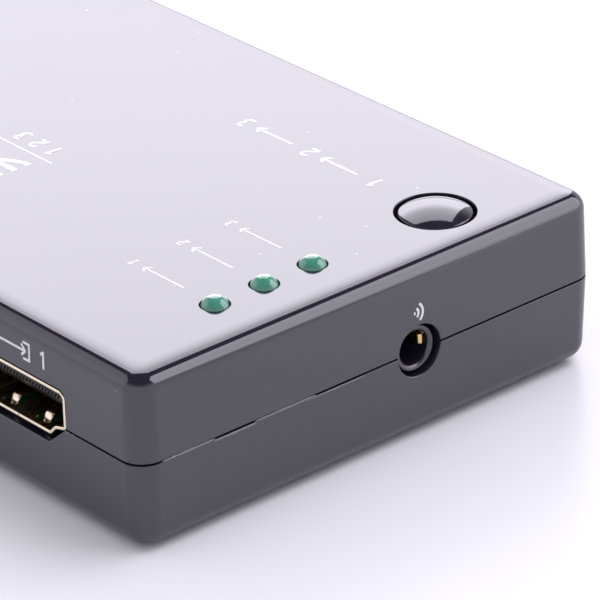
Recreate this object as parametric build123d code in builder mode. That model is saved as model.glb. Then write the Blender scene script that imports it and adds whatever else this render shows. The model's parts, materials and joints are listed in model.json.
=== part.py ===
from build123d import *

import math
import os

# A small box that passes one of three video inputs to one output.
# Millimetres, +Z up. The origin is under the middle of the case, on the plane that the feet rest on.
# +Y is the rear, with the three inputs. -Y is the front, with the output and the power inlet.
# -X is the end with the jack of the remote receiver. Angles are in degrees.

# One overrun serves every cut that has to pass a surface
overrun = 1.0

# Case: its plan is measured at the parting line, where the two shells meet
case_length = 90.0
case_width = 60.0
case_height = 18.8
lower_height = 9.4
wall = 2.0
roof_thickness = 2.0
floor_thickness = 2.0
corner_radius = 3.2
top_edge_radius = 1.7
bottom_edge_radius = 2.0
upper_draft = 1.5
lower_draft = 2.5
foot_proud = 0.4

# Joint between the shells: an inner lip, and a thin shadow gap outside
lip_thickness = 0.8
lip_height = 1.2
lip_gap = 0.1
shadow_gap = 0.15
shadow_depth = 0.3

# Screw posts in the four corners
post_inset = 7.0
upper_post_diameter = 5.6
lower_post_diameter = 7.0
screw_diameter = 2.6
screw_length = 10.0
screw_head_diameter = 4.8
screw_head_height = 1.8
screw_seat_rise = 3.0
screw_slot_width = 0.7
screw_slot_length = 3.0
screw_slot_depth = 1.0
screw_bite_gap = 0.05
screw_hole_gap = 0.2
screw_head_gap = 0.3
pilot_spare = 1.0

# Rubber feet, and the recess for a label
foot_diameter = 8.0
foot_thickness = 1.2
foot_gap = 0.2
foot_edge_radius = 0.25
label_length = 40.0
label_width = 25.0
label_depth = 0.3
label_corner_radius = 1.0

# Circuit board, on the lower posts and two rests
board_gap = 0.5
board_thickness = 1.6
board_corner_radius = 1.5
rest_diameter = 4.0
rest_spacing = 36.0
pin_hole_gap = 0.15
pin_reach = 1.1

# HDMI receptacles: the outline of the metal shell, measured from the parting line
port_width = 15.0
port_rise = 3.95
port_drop = 1.45
port_shoulder_drop = 0.1
port_waist_drop = 0.55
port_waist_inset = 1.6
port_floor_inset = 2.5
port_top_radius = 0.9
port_step_radius = 0.5
port_metal = 0.35
port_depth = 11.5
port_recess = 0.1
port_fit_gap = 0.15
port_under_gap = 0.9
port_ramp_inset = 2.97
port_ramp_rise = 0.1
port_post_gap = 1.55
port_leg_width = 1.8
port_leg_lap = 0.6
port_leg_depths = (3.6, 9.6)

# Spring tabs in the floor and the roof of each receptacle
tab_spacing = 5.2
tab_width = 1.4
tab_slit = 0.3
tab_tip_depth = 1.6
tab_peak_depth = 3.2
tab_root_depth = 6.5
tab_peak_rise = 0.45
tab_tip_rise = 0.12
tab_metal = 0.25
tab_lap = 0.3

# Plastic core of each receptacle, with its tongue
core_front_depth = 8.7
core_gap = 0.05
core_flange_thickness = 1.2
core_flange_inset = 0.5
core_flange_rise = 3.0
tongue_side_gap = 1.55
tongue_thickness = 1.6
tongue_rise = 0.9
tongue_front_depth = 1.3
tongue_nose = 0.35

# Contacts of each receptacle: ten over the tongue and nine under it
upper_contact_count = 10
contact_edge_gap = 0.95
contact_width = 0.3
contact_thickness = 0.12
contact_setback = 0.5
contact_hole_gap = 0.03
contact_standoff = 0.15
contact_foot = 0.8

# Clearance of the slots that hold the contacts of both jacks
jack_slot_gap = 0.06

# Jack of the remote receiver, for a 3.5 mm plug
ir_body_length = 11.5
ir_body_width = 6.0
ir_body_height = 5.0
ir_body_depth = 2.7
ir_nose_diameter = 5.0
ir_nose_recess = 0.5
ir_bore_diameter = 3.6
ir_lead_diameter = 4.1
ir_lead_depth = 2.3
ir_back_wall = 0.8
ir_mouth_chamfer = 0.25
ir_hole_gap = 0.22
ir_spring_metal = 0.3
ir_spring_height = 1.0
ir_spring_depth = 5.4
ir_spring_length = 6.0
ir_spring_intrusion = 0.03
ir_pin_width = 0.8
ir_strap_depth = 3.2
ir_strap_width = 1.4
ir_finger_depth = 1.3
ir_finger_width = 1.1

# Power inlet for a 3.5 mm barrel plug with a 1.3 mm pin
dc_share = 0.6
dc_axis_rise = 3.2
dc_body_width = 6.4
dc_body_length = 9.0
dc_body_depth = 2.6
dc_nose_diameter = 6.0
dc_nose_recess = 0.3
dc_bore_diameter = 3.9
dc_bore_length = 8.0
dc_pin_diameter = 1.3
dc_pin_recess = 1.2
dc_pin_edge_radius = 0.325
dc_tail_size = 1.0
dc_tail_gap = 0.03
dc_hole_gap = 0.2
dc_terminal_metal = 0.3
dc_terminal_width = 1.8
dc_spring_length = 4.0
dc_spring_depth = 5.0

# Lights: 3 mm domes that stand just above the case
led_end_inset = 7.47
led_count = 3
led_diameter = 3.0
led_hole_gap = 0.06
led_tip_rise = 0.95
led_length = 5.3
led_flange_diameter = 3.8
led_flange_height = 1.0
led_lead = 0.5
led_lead_spacing = 1.27
led_lead_gap = 0.04
led_pocket_depth = 2.0

# Shares of the free length at the near end: from the front post to the button, from the button
# to the jack, from the jack to the first light and from light to light
near_shares = (0.0129, 0.1125, 0.1807, 0.1856)

# Select button: a domed cap on a stem, held by its flange in a collar under the roof
button_end_inset = 7.87
button_diameter = 7.6
button_hole_gap = 0.4
button_rim_drop = 0.1
button_dome_height = 0.9
button_edge_radius = 0.2
button_flange_diameter = 9.4
button_flange_thickness = 0.8
button_flange_gap = 0.2
button_stem_diameter = 4.0
collar_gap = 0.2
collar_wall = 0.8
collar_depth = 3.0

# Push switch under the button
tact_size = 6.0
tact_base_height = 3.2
tact_cover_thickness = 0.25
tact_tab_width = 1.5
tact_tab_drop = 1.5
tact_height = 5.0
tact_cavity_diameter = 5.0
tact_cavity_floor = 1.6
dome_diameter = 4.6
dome_height = 0.45
dome_thickness = 0.1
plunger_diameter = 3.4
plunger_flange_diameter = 4.4
plunger_flange_thickness = 0.6
plunger_nub_diameter = 1.6
plunger_nub_gap = 0.02
plunger_stop_gap = 0.08
plunger_hole_gap = 0.1
tact_pin_width = 0.7
tact_pin_metal = 0.3
tact_pin_spacing = 4.5
tact_pin_climb = 0.8

# Chips and other parts soldered on the board. Shares are of half the board's length and width.
switch_chip_shares = (0.0, 0.02)
switch_chip_size = 10.0
switch_chip_height = 1.4
switch_chip_lead_count = 11
switch_chip_end_gap = 0.825
control_chip_shares = (-0.49, -0.33)
control_chip_length = 9.9
control_chip_width = 3.9
control_chip_height = 1.5
control_chip_lead_count = 8
control_chip_end_gap = 0.33
chip_standoff = 0.1
chip_edge = 0.15
chip_lead_width = 0.35
chip_lead_metal = 0.15
chip_lead_reach = 1.1
chip_lead_climb_share = 0.5
chip_shoulder_share = 0.4
regulator_shares = (0.565, -0.3)
regulator_length = 6.5
regulator_width = 3.5
regulator_height = 1.6
regulator_tab_width = 3.0
regulator_lead_count = 3
regulator_lead_width = 0.7
regulator_lead_pitch = 2.3
regulator_lead_reach = 1.75
regulator_lead_metal = 0.25
crystal_shares = (-0.49, 0.12)
crystal_length = 11.0
crystal_width = 4.6
crystal_height = 3.5
crystal_rim = 0.5
crystal_rim_height = 0.4
can_shares = ((0.8, -0.28), (0.8, 0.1))
can_diameter = 6.3
can_height = 5.4
can_base_size = 6.6
can_base_height = 0.8
can_base_corner = 1.2
can_groove_depth = 0.3
can_groove_height = 0.5
can_groove_rise = 1.2
small_length = 1.6
small_width = 0.8
small_height = 0.6
small_pitch = 2.2
small_gap = 1.0
port_resistor_count = 4
side_capacitor_count = 5

# Heights of the case
underside_z = foot_proud
parting_z = underside_z + lower_height
top_z = underside_z + case_height
roof_z = top_z - roof_thickness
floor_z = underside_z + floor_thickness
foot_recess_z = foot_thickness

# The jack's axis lies on the parting line, and the jack stands on the board
board_top_z = parting_z - ir_body_height / 2
board_bottom_z = board_top_z - board_thickness
pin_end_z = board_bottom_z - pin_reach
screw_seat_z = underside_z + screw_seat_rise

# Plan of the case
inner_length = case_length - 2 * wall
inner_width = case_width - 2 * wall
inner_radius = corner_radius - wall
board_length = inner_length - 2 * board_gap
board_width = inner_width - 2 * board_gap
post_x = case_length / 2 - post_inset
post_y = case_width / 2 - post_inset
post_places = [(x, y) for x in (-post_x, post_x) for y in (-post_y, post_y)]
rest_places = [(-rest_spacing / 2, 0), (rest_spacing / 2, 0)]

# Places of what shows on the near end: the button, the jack and the three lights stand in a row
# between two posts, and the length that they leave free is shared out between them
collar_inner_radius = button_flange_diameter / 2 + collar_gap
near_span = 2 * post_y - upper_post_diameter
near_free = near_span - 2 * collar_inner_radius - ir_body_width - led_count * led_flange_diameter
post_button_free, button_ir_free, ir_led_free, led_led_free = [
    share * near_free for share in near_shares
]
button_x = -case_length / 2 + button_end_inset
button_y = -near_span / 2 + post_button_free + collar_inner_radius
ir_y = button_y + collar_inner_radius + button_ir_free + ir_body_width / 2
led_x = -case_length / 2 + led_end_inset
led_front_y = ir_y + ir_body_width / 2 + ir_led_free + led_flange_diameter / 2
led_pitch = led_flange_diameter + led_led_free
led_places = [(led_x, led_front_y + i * led_pitch) for i in reversed(range(led_count))]

# Places of the receptacles: the outer inputs stand beside the posts
port_pitch = post_x - upper_post_diameter / 2 - port_post_gap - port_width / 2
port_back_depth = port_recess + port_depth
tongue_width = port_width - 2 * (port_metal + tongue_side_gap)
dc_x = port_width / 2 + dc_share * (post_x - upper_post_diameter / 2 - port_width / 2)
dc_axis_z = board_top_z + dc_axis_rise


def side_plane(x, y, z, away):
    """A plane on a side of the case. Its z leaves the case along away, and its y is up."""
    outward = Vector(*away)
    return Plane(origin=(x, y, z), x_dir=Vector(0, 0, 1).cross(outward), z_dir=outward)


def depth_plane(face, sideways):
    """The upright plane that runs into the case from face. Its x leaves the case, its y is up."""
    return Plane(
        origin=face.origin + face.x_dir * sideways,
        x_dir=face.z_dir,
        z_dir=face.z_dir.cross(face.y_dir),
    )


def board_place(shares):
    """A place on the board from its shares of the half length and the half width."""
    return (shares[0] * board_length / 2, shares[1] * board_width / 2)


def centred(count, pitch):
    """Places of count things at one pitch, centred on zero."""
    return [(i - (count - 1) / 2) * pitch for i in range(count)]


def save(part, name):
    """Names a finished piece and writes it."""
    part.label = name
    export_step(part, "parts/" + name + ".step")


rear_ports = {
    "hdmi_in_1": side_plane(-port_pitch, case_width / 2, parting_z, (0, 1, 0)),
    "hdmi_in_2": side_plane(0, case_width / 2, parting_z, (0, 1, 0)),
    "hdmi_in_3": side_plane(port_pitch, case_width / 2, parting_z, (0, 1, 0)),
}
front_ports = {"hdmi_out": side_plane(0, -case_width / 2, parting_z, (0, -1, 0))}
ports = {**rear_ports, **front_ports}
ir_face = side_plane(-case_length / 2, ir_y, parting_z, (-1, 0, 0))
dc_face = side_plane(dc_x, -case_width / 2, dc_axis_z, (0, -1, 0))

os.makedirs("parts", exist_ok=True)


def port_profile(grow):
    """The stepped outline of a receptacle's metal shell, grown or shrunk all round by grow."""
    half = port_width / 2
    waist, base = half - port_waist_inset, half - port_floor_inset
    right_side = [
        (half, port_rise),
        (half, -port_shoulder_drop),
        (waist, -port_waist_drop),
        (base, -port_drop),
    ]
    left_side = [(-x, y) for x, y in reversed(right_side)]
    with BuildSketch() as profile:
        with BuildLine():
            Polyline(*right_side, *left_side, close=True)
        make_face()
        fillet(profile.vertices().group_by(Axis.Y)[-1], port_top_radius)
        fillet(profile.vertices().filter_by(lambda v: v.Y < 0), port_step_radius)
        if grow:
            offset(amount=grow)
    return profile.sketch


def lower_opening():
    """The lower shell's opening for a receptacle: sloping sides and a floor well under it."""
    half = port_width / 2 + port_fit_gap
    right_side = [
        (half, port_rise),
        (half, port_ramp_rise),
        (half - port_ramp_inset, -port_drop - port_under_gap),
    ]
    left_side = [(-x, y) for x, y in reversed(right_side)]
    with BuildSketch() as opening:
        with BuildLine():
            Polyline(*right_side, *left_side, close=True)
        make_face()
        fillet(opening.vertices().filter_by(lambda v: v.Y < 0), port_step_radius)
    return opening.sketch


def port_leg_places(face):
    """Plan places of a receptacle's four legs."""
    reach = (port_width - port_metal) / 2
    inward = face.z_dir * -1
    return [
        ((face.origin + face.x_dir * side + inward * depth).X, (face.origin + inward * depth).Y)
        for side in (-reach, reach)
        for depth in port_leg_depths
    ]


# Upper shell: a drafted, rounded tray, open below
with BuildPart() as upper_shell:
    with BuildSketch(Plane.XY.offset(parting_z)):
        RectangleRounded(case_length, case_width, corner_radius)
    extrude(amount=top_z - parting_z, taper=upper_draft)
    fillet(upper_shell.edges().group_by(Axis.Z)[-1], top_edge_radius)
    with BuildSketch(Plane.XY.offset(parting_z)):
        RectangleRounded(inner_length, inner_width, inner_radius)
    extrude(amount=roof_z - parting_z, taper=upper_draft, mode=Mode.SUBTRACT)
    # rebate that receives the lower shell's lip
    with BuildSketch(Plane.XY.offset(parting_z)):
        rebate = 2 * (lip_thickness + lip_gap)
        RectangleRounded(inner_length + rebate, inner_width + rebate, inner_radius + rebate / 2)
    extrude(amount=lip_height + lip_gap, mode=Mode.SUBTRACT)
    # shadow gap round the outside
    with BuildSketch(Plane.XY.offset(parting_z)):
        Rectangle(case_length + 2 * overrun, case_width + 2 * overrun)
        RectangleRounded(
            case_length - 2 * shadow_depth,
            case_width - 2 * shadow_depth,
            corner_radius - shadow_depth,
            mode=Mode.SUBTRACT,
        )
    extrude(amount=shadow_gap, mode=Mode.SUBTRACT)
    # posts that press the board onto the lower posts
    with BuildSketch(Plane.XY.offset(board_top_z)):
        with Locations(*post_places):
            Circle(upper_post_diameter / 2)
    extrude(amount=roof_z + roof_thickness / 2 - board_top_z)
    with BuildSketch(Plane.XY.offset(board_top_z)):
        with Locations(*post_places):
            Circle(screw_diameter / 2 + screw_bite_gap)
    extrude(amount=screw_seat_z + screw_length + pilot_spare - board_top_z, mode=Mode.SUBTRACT)
    # collar that guides the button's flange
    with BuildSketch(Plane.XY.offset(roof_z + roof_thickness / 2)):
        with Locations((button_x, button_y)):
            Circle(collar_inner_radius + collar_wall)
    extrude(amount=-(roof_thickness / 2 + collar_depth))
    with BuildSketch(Plane.XY.offset(roof_z)):
        with Locations((button_x, button_y)):
            Circle(collar_inner_radius)
    extrude(amount=-(collar_depth + overrun), mode=Mode.SUBTRACT)
    # holes in the roof
    with BuildSketch(Plane.XY.offset(roof_z - overrun)):
        with Locations((button_x, button_y)):
            Circle(button_diameter / 2 + button_hole_gap)
        with Locations(*led_places):
            Circle(led_diameter / 2 + led_hole_gap)
    extrude(amount=roof_thickness + 2 * overrun, mode=Mode.SUBTRACT)
    # openings in the sides
    for port_face in ports.values():
        with BuildSketch(port_face.offset(overrun)):
            add(port_profile(port_fit_gap))
        extrude(amount=-(wall + lip_gap + 2 * overrun), mode=Mode.SUBTRACT)
    with BuildSketch(ir_face.offset(overrun)):
        Circle(ir_nose_diameter / 2 + ir_hole_gap)
    extrude(amount=-(wall + 2 * overrun), mode=Mode.SUBTRACT)
    with BuildSketch(dc_face.offset(overrun)):
        Circle(dc_nose_diameter / 2 + dc_hole_gap)
    extrude(amount=-(wall + 2 * overrun), mode=Mode.SUBTRACT)
save(upper_shell.part, "upper_shell")

# Lower shell: a drafted, rounded tray, open above
with BuildPart() as lower_shell:
    with BuildSketch(Plane.XY.offset(parting_z)):
        RectangleRounded(case_length, case_width, corner_radius)
    extrude(amount=-lower_height, taper=lower_draft)
    fillet(lower_shell.edges().group_by(Axis.Z)[0], bottom_edge_radius)
    with BuildSketch(Plane.XY.offset(parting_z)):
        RectangleRounded(inner_length, inner_width, inner_radius)
    extrude(amount=-(parting_z - floor_z), taper=lower_draft, mode=Mode.SUBTRACT)
    # lip that enters the upper shell
    with BuildSketch(Plane.XY.offset(parting_z)):
        RectangleRounded(
            inner_length + 2 * lip_thickness,
            inner_width + 2 * lip_thickness,
            inner_radius + lip_thickness,
        )
        RectangleRounded(inner_length, inner_width, inner_radius, mode=Mode.SUBTRACT)
    extrude(amount=lip_height)
    # posts and rests under the board
    with BuildSketch(Plane.XY.offset(floor_z - floor_thickness / 2)):
        with Locations(*post_places):
            Circle(lower_post_diameter / 2)
        with Locations(*rest_places):
            Circle(rest_diameter / 2)
    extrude(amount=board_bottom_z - floor_z + floor_thickness / 2)
    # screw holes, their counterbores and the recesses of the feet
    with BuildSketch(Plane.XY):
        with Locations(*post_places):
            Circle(screw_diameter / 2 + screw_hole_gap)
    extrude(amount=board_top_z, mode=Mode.SUBTRACT)
    with BuildSketch(Plane.XY):
        with Locations(*post_places):
            Circle(screw_head_diameter / 2 + screw_head_gap)
    extrude(amount=screw_seat_z, mode=Mode.SUBTRACT)
    with BuildSketch(Plane.XY):
        with Locations(*post_places):
            Circle(foot_diameter / 2 + foot_gap)
    extrude(amount=foot_recess_z, mode=Mode.SUBTRACT)
    with BuildSketch(Plane.XY):
        RectangleRounded(label_length, label_width, label_corner_radius)
    extrude(amount=underside_z + label_depth, mode=Mode.SUBTRACT)
    # openings in the sides
    for port_face in ports.values():
        with BuildSketch(port_face.offset(overrun)):
            add(lower_opening())
        extrude(amount=-(wall + 2 * overrun), mode=Mode.SUBTRACT)
    with BuildSketch(ir_face.offset(overrun)):
        Circle(ir_nose_diameter / 2 + ir_hole_gap)
    extrude(amount=-(wall + 2 * overrun), mode=Mode.SUBTRACT)
    with BuildSketch(dc_face.offset(overrun)):
        Circle(dc_nose_diameter / 2 + dc_hole_gap)
    extrude(amount=-(wall + 2 * overrun), mode=Mode.SUBTRACT)
save(lower_shell.part, "lower_shell")

# Four self-tapping screws with a cross slot, heads down
with BuildPart() as case_screws:
    with BuildSketch(Plane.XY.offset(screw_seat_z)):
        with Locations(*post_places):
            Circle(screw_head_diameter / 2)
    extrude(amount=-screw_head_height)
    with BuildSketch(Plane.XY.offset(screw_seat_z)):
        with Locations(*post_places):
            Circle(screw_diameter / 2)
    extrude(amount=screw_length)
    with BuildSketch(Plane.XY.offset(screw_seat_z - screw_head_height)):
        with Locations(*post_places):
            Rectangle(screw_slot_length, screw_slot_width)
            Rectangle(screw_slot_width, screw_slot_length)
    extrude(amount=screw_slot_depth, mode=Mode.SUBTRACT)
save(case_screws.part, "case_screws")

# Four rubber feet, glued into recesses over the screws
with BuildPart() as rubber_feet:
    with BuildSketch(Plane.XY):
        with Locations(*post_places):
            Circle(foot_diameter / 2)
    extrude(amount=foot_thickness)
    fillet(rubber_feet.edges().group_by(Axis.Z)[0], foot_edge_radius)
save(rubber_feet.part, "rubber_feet")

# Places of the thin pins that pass the board
ir_spring_pin_x = -case_length / 2 + ir_spring_depth + ir_spring_length / 2
ir_spring_pin_y = ir_bore_diameter / 2 - ir_spring_intrusion + ir_spring_metal / 2
ir_strap_x = -case_length / 2 + ir_strap_depth + ir_strap_width / 2
ir_strap_y = ir_body_width / 2 + ir_spring_metal / 2
dc_terminal_y = -case_width / 2 + dc_body_depth + dc_body_length + dc_terminal_metal / 2
dc_spring_y = -case_width / 2 + dc_spring_depth + dc_spring_length / 2
dc_spring_x = dc_x + dc_body_width / 2 + dc_terminal_metal / 2
tact_pin_x = (tact_size + tact_pin_metal) / 2
tact_pin_places = [
    (button_x + side * tact_pin_x, button_y + end * tact_pin_spacing / 2)
    for side in (-1, 1)
    for end in (-1, 1)
]
led_lead_places = [
    (x + side * led_lead_spacing, y) for x, y in led_places for side in (-1, 1)
]

# Circuit board
with BuildPart() as circuit_board:
    with BuildSketch(Plane.XY.offset(board_bottom_z)):
        RectangleRounded(board_length, board_width, board_corner_radius)
        with Locations(*post_places):
            Circle(screw_diameter / 2 + screw_hole_gap, mode=Mode.SUBTRACT)
        for port_face in ports.values():
            with Locations(*port_leg_places(port_face)):
                Rectangle(
                    port_metal + 2 * pin_hole_gap,
                    port_leg_width + 2 * pin_hole_gap,
                    mode=Mode.SUBTRACT,
                )
        with Locations(*tact_pin_places):
            Rectangle(
                tact_pin_metal + 2 * pin_hole_gap,
                tact_pin_width + 2 * pin_hole_gap,
                mode=Mode.SUBTRACT,
            )
        with Locations(*led_lead_places):
            Circle(led_lead / math.sqrt(2) + pin_hole_gap, mode=Mode.SUBTRACT)
        with Locations(
            (ir_spring_pin_x, ir_y - ir_spring_pin_y),
            (ir_spring_pin_x, ir_y + ir_spring_pin_y),
        ):
            Rectangle(
                ir_pin_width + 2 * pin_hole_gap,
                ir_spring_metal + 2 * pin_hole_gap,
                mode=Mode.SUBTRACT,
            )
        with Locations((ir_strap_x, ir_y - ir_strap_y)):
            Rectangle(
                ir_strap_width + 2 * pin_hole_gap,
                ir_spring_metal + 2 * pin_hole_gap,
                mode=Mode.SUBTRACT,
            )
        with Locations((dc_x, dc_terminal_y)):
            Rectangle(
                dc_terminal_width + 2 * pin_hole_gap,
                dc_terminal_metal + 2 * pin_hole_gap,
                mode=Mode.SUBTRACT,
            )
        with Locations((dc_spring_x, dc_spring_y)):
            Rectangle(
                dc_terminal_metal + 2 * pin_hole_gap,
                dc_terminal_width + 2 * pin_hole_gap,
                mode=Mode.SUBTRACT,
            )
    extrude(amount=board_thickness)
save(circuit_board.part, "circuit_board")


def make_port_shell(face):
    """Bent metal shell of a receptacle, with its spring tabs and its four legs."""
    floor_inner = -port_drop + port_metal
    roof_inner = port_rise - port_metal
    mid_depth = (tab_tip_depth - tab_slit + tab_root_depth) / 2
    window_length = tab_root_depth - tab_tip_depth + tab_slit
    with BuildPart() as shell:
        with BuildSketch(face.offset(-port_recess)):
            add(port_profile(0))
            add(port_profile(-port_metal), mode=Mode.SUBTRACT)
        extrude(amount=-port_depth)
        # windows round the spring tabs
        with BuildSketch(Plane.XY.offset(parting_z - port_drop - overrun)):
            for side in (-tab_spacing / 2, tab_spacing / 2):
                place = face.origin + face.x_dir * side - face.z_dir * mid_depth
                with Locations((place.X, place.Y)):
                    Rectangle(tab_width + 2 * tab_slit, window_length)
        extrude(amount=port_drop + port_rise + 2 * overrun, mode=Mode.SUBTRACT)
        # the tabs, bent into the mouth
        for base, sense in ((floor_inner, 1), (roof_inner, -1)):
            peak, tip = base + sense * tab_peak_rise, base + sense * tab_tip_rise
            metal = sense * tab_metal
            outline = (
                (-tab_root_depth - tab_lap, base),
                (-tab_root_depth, base),
                (-tab_peak_depth, peak),
                (-tab_tip_depth, tip),
                (-tab_tip_depth, tip - metal),
                (-tab_peak_depth, peak - metal),
                (-tab_root_depth, base - metal),
                (-tab_root_depth - tab_lap, base - metal),
            )
            with BuildSketch(
                depth_plane(face, -tab_spacing / 2), depth_plane(face, tab_spacing / 2)
            ):
                with BuildLine():
                    Polyline(*outline, close=True)
                make_face()
            extrude(amount=tab_width / 2, both=True)
        with BuildSketch(Plane.XY.offset(pin_end_z)):
            with Locations(*port_leg_places(face)):
                Rectangle(port_metal, port_leg_width)
        extrude(amount=parting_z + port_leg_lap - pin_end_z)
    return shell.part


def contact_places():
    """Sideways places of the contacts over the tongue and of those under it."""
    span = tongue_width - 2 * contact_edge_gap - contact_width
    pitch = span / (upper_contact_count - 1)
    over = centred(upper_contact_count, pitch)
    under = centred(upper_contact_count - 1, pitch)
    return over, under


def make_port_core(face):
    """Plastic core of a receptacle: a block in the shell, a flange behind it and the tongue."""
    over, under = contact_places()
    flange_foot = board_top_z - parting_z
    hole_height = contact_thickness + 2 * contact_hole_gap
    with BuildPart() as core:
        with BuildSketch(face.offset(-core_front_depth)):
            add(port_profile(-port_metal - core_gap))
        extrude(amount=-(port_back_depth - core_front_depth))
        with BuildSketch(face.offset(-port_back_depth)):
            with Locations((0, (core_flange_rise + flange_foot) / 2)):
                Rectangle(port_width - 2 * core_flange_inset, core_flange_rise - flange_foot)
        extrude(amount=-core_flange_thickness)
        with BuildSketch(face.offset(-core_front_depth)):
            with Locations((0, tongue_rise + tongue_thickness / 2)):
                Rectangle(tongue_width, tongue_thickness)
        extrude(amount=core_front_depth - tongue_front_depth)
        nose = core.faces().sort_by(Axis(face.origin, face.z_dir))[-1]
        chamfer(nose.edges().filter_by(Axis.X), tongue_nose)
        # a hole through the block and the flange for each contact
        with BuildSketch(face.offset(-core_front_depth)):
            with Locations(
                *[(x, tongue_rise + tongue_thickness + contact_thickness / 2) for x in over],
                *[(x, tongue_rise - contact_thickness / 2) for x in under],
            ):
                Rectangle(contact_width + 2 * contact_hole_gap, hole_height)
        extrude(
            amount=-(port_back_depth + core_flange_thickness + overrun - core_front_depth),
            mode=Mode.SUBTRACT,
        )
    return core.part


def make_port_contacts(face):
    """Contacts that lie on the tongue, pass the core and turn down to the board."""
    over, under = contact_places()
    front = -(tongue_front_depth + contact_setback)
    drop = -(port_back_depth + core_flange_thickness + contact_standoff)
    board = board_top_z - parting_z
    with BuildPart() as contacts:
        for places, inner, sense in (
            (over, tongue_rise + tongue_thickness, 1),
            (under, tongue_rise, -1),
        ):
            low, high = sorted((inner, inner + sense * contact_thickness))
            outline = (
                (front, high),
                (drop - contact_thickness, high),
                (drop - contact_thickness, board + contact_thickness),
                (drop - contact_thickness - contact_foot, board + contact_thickness),
                (drop - contact_thickness - contact_foot, board),
                (drop, board),
                (drop, low),
                (front, low),
            )
            with BuildSketch(*[depth_plane(face, x) for x in places]):
                with BuildLine():
                    Polyline(*outline, close=True)
                make_face()
            extrude(amount=contact_width / 2, both=True)
    return contacts.part


for port_name, port_face in ports.items():
    save(make_port_shell(port_face), port_name + "_shell")
    save(make_port_core(port_face), port_name + "_core")
    save(make_port_contacts(port_face), port_name + "_contacts")


def ir_spring_outline(grow):
    """Side view of a spring contact with its pin, in the depth plane of the jack."""
    near, far = -ir_spring_depth + grow, -(ir_spring_depth + ir_spring_length) - grow
    pin_near = -(ir_spring_depth + ir_spring_length / 2) + ir_pin_width / 2 + grow
    pin_far = pin_near - ir_pin_width - 2 * grow
    high, low = ir_spring_height / 2 + grow, -ir_spring_height / 2 - grow
    foot = pin_end_z - parting_z
    return (
        (near, high),
        (near, low),
        (pin_near, low),
        (pin_near, foot),
        (pin_far, foot),
        (pin_far, low),
        (far, low),
        (far, high),
    )


def draw_outline(outline):
    """A closed sketch through the points of an outline."""
    with BuildSketch() as drawn:
        with BuildLine():
            Polyline(*outline, close=True)
        make_face()
    return drawn.sketch


# Body of the remote receiver's jack: a block and a round nose, with one bore
ir_metal_inner = ir_bore_diameter / 2 - ir_spring_intrusion
ir_metal_outer = ir_metal_inner + ir_spring_metal
ir_strap_back = ir_strap_depth + ir_strap_width
ir_bridge_rise = (ir_finger_width - ir_spring_metal) / 2
with BuildPart() as ir_jack_body:
    with BuildSketch(ir_face.offset(-ir_nose_recess)):
        Circle(ir_nose_diameter / 2)
    extrude(amount=-(ir_body_depth - ir_nose_recess))
    with BuildSketch(ir_face.offset(-ir_body_depth)):
        Rectangle(ir_body_width, ir_body_height)
    extrude(amount=-ir_body_length)
    with BuildSketch(ir_face.offset(-ir_nose_recess)):
        Circle(ir_bore_diameter / 2)
    extrude(
        amount=-(ir_body_depth + ir_body_length - ir_nose_recess - ir_back_wall),
        mode=Mode.SUBTRACT,
    )
    # wider lead-in of the bore
    with BuildSketch(ir_face.offset(-ir_nose_recess)):
        Circle(ir_lead_diameter / 2)
    extrude(amount=-(ir_lead_depth - ir_nose_recess), mode=Mode.SUBTRACT)
    mouth = ir_jack_body.edges().filter_by(GeomType.CIRCLE).group_by(Axis.X)[0]
    chamfer(mouth.sort_by(SortBy.RADIUS)[0], ir_mouth_chamfer)
    # slots in both sides for the spring contacts
    for side in (-1, 1):
        with BuildSketch(depth_plane(ir_face, side * (ir_bore_diameter / 2 - ir_spring_metal))):
            add(draw_outline(ir_spring_outline(jack_slot_gap)))
        extrude(amount=side * -ir_body_width / 2, mode=Mode.SUBTRACT)
    # slot beside the bore for the finger of the strap, and one from there to the body's side
    with BuildSketch(ir_face.offset(-ir_finger_depth + jack_slot_gap)):
        with Locations((ir_metal_outer / 2, 0)):
            Rectangle(ir_metal_outer + 2 * jack_slot_gap, ir_finger_width + 2 * jack_slot_gap)
    extrude(amount=-(ir_strap_back - ir_finger_depth + 2 * jack_slot_gap), mode=Mode.SUBTRACT)
    with BuildSketch(ir_face.offset(-ir_strap_depth + jack_slot_gap)):
        with Locations((ir_body_width / 2, ir_bridge_rise)):
            Rectangle(ir_body_width, ir_spring_metal + 2 * jack_slot_gap)
    extrude(amount=-(ir_strap_width + 2 * jack_slot_gap), mode=Mode.SUBTRACT)
save(ir_jack_body.part, "ir_jack_body")

# Its contacts: a spring on each side, and a strap with a finger beside the bore
with BuildPart() as ir_jack_contacts:
    for side in (-1, 1):
        with BuildSketch(depth_plane(ir_face, side * (ir_metal_inner + ir_spring_metal / 2))):
            add(draw_outline(ir_spring_outline(0)))
        extrude(amount=ir_spring_metal / 2, both=True)
    with BuildSketch(ir_face.offset(-ir_finger_depth)):
        with Locations(((ir_metal_inner + ir_metal_outer) / 2, 0)):
            Rectangle(ir_spring_metal, ir_finger_width)
    extrude(amount=-(ir_strap_back - ir_finger_depth))
    strap_top = ir_finger_width / 2
    strap_foot = pin_end_z - parting_z
    strap_side = ir_body_width / 2 + ir_spring_metal
    with BuildSketch(ir_face.offset(-ir_strap_depth)):
        with Locations(((ir_metal_inner + strap_side) / 2, ir_bridge_rise)):
            Rectangle(strap_side - ir_metal_inner, ir_spring_metal)
        with Locations((strap_side - ir_spring_metal / 2, (strap_top + strap_foot) / 2)):
            Rectangle(ir_spring_metal, strap_top - strap_foot)
    extrude(amount=-ir_strap_width)
save(ir_jack_contacts.part, "ir_jack_contacts")

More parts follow.
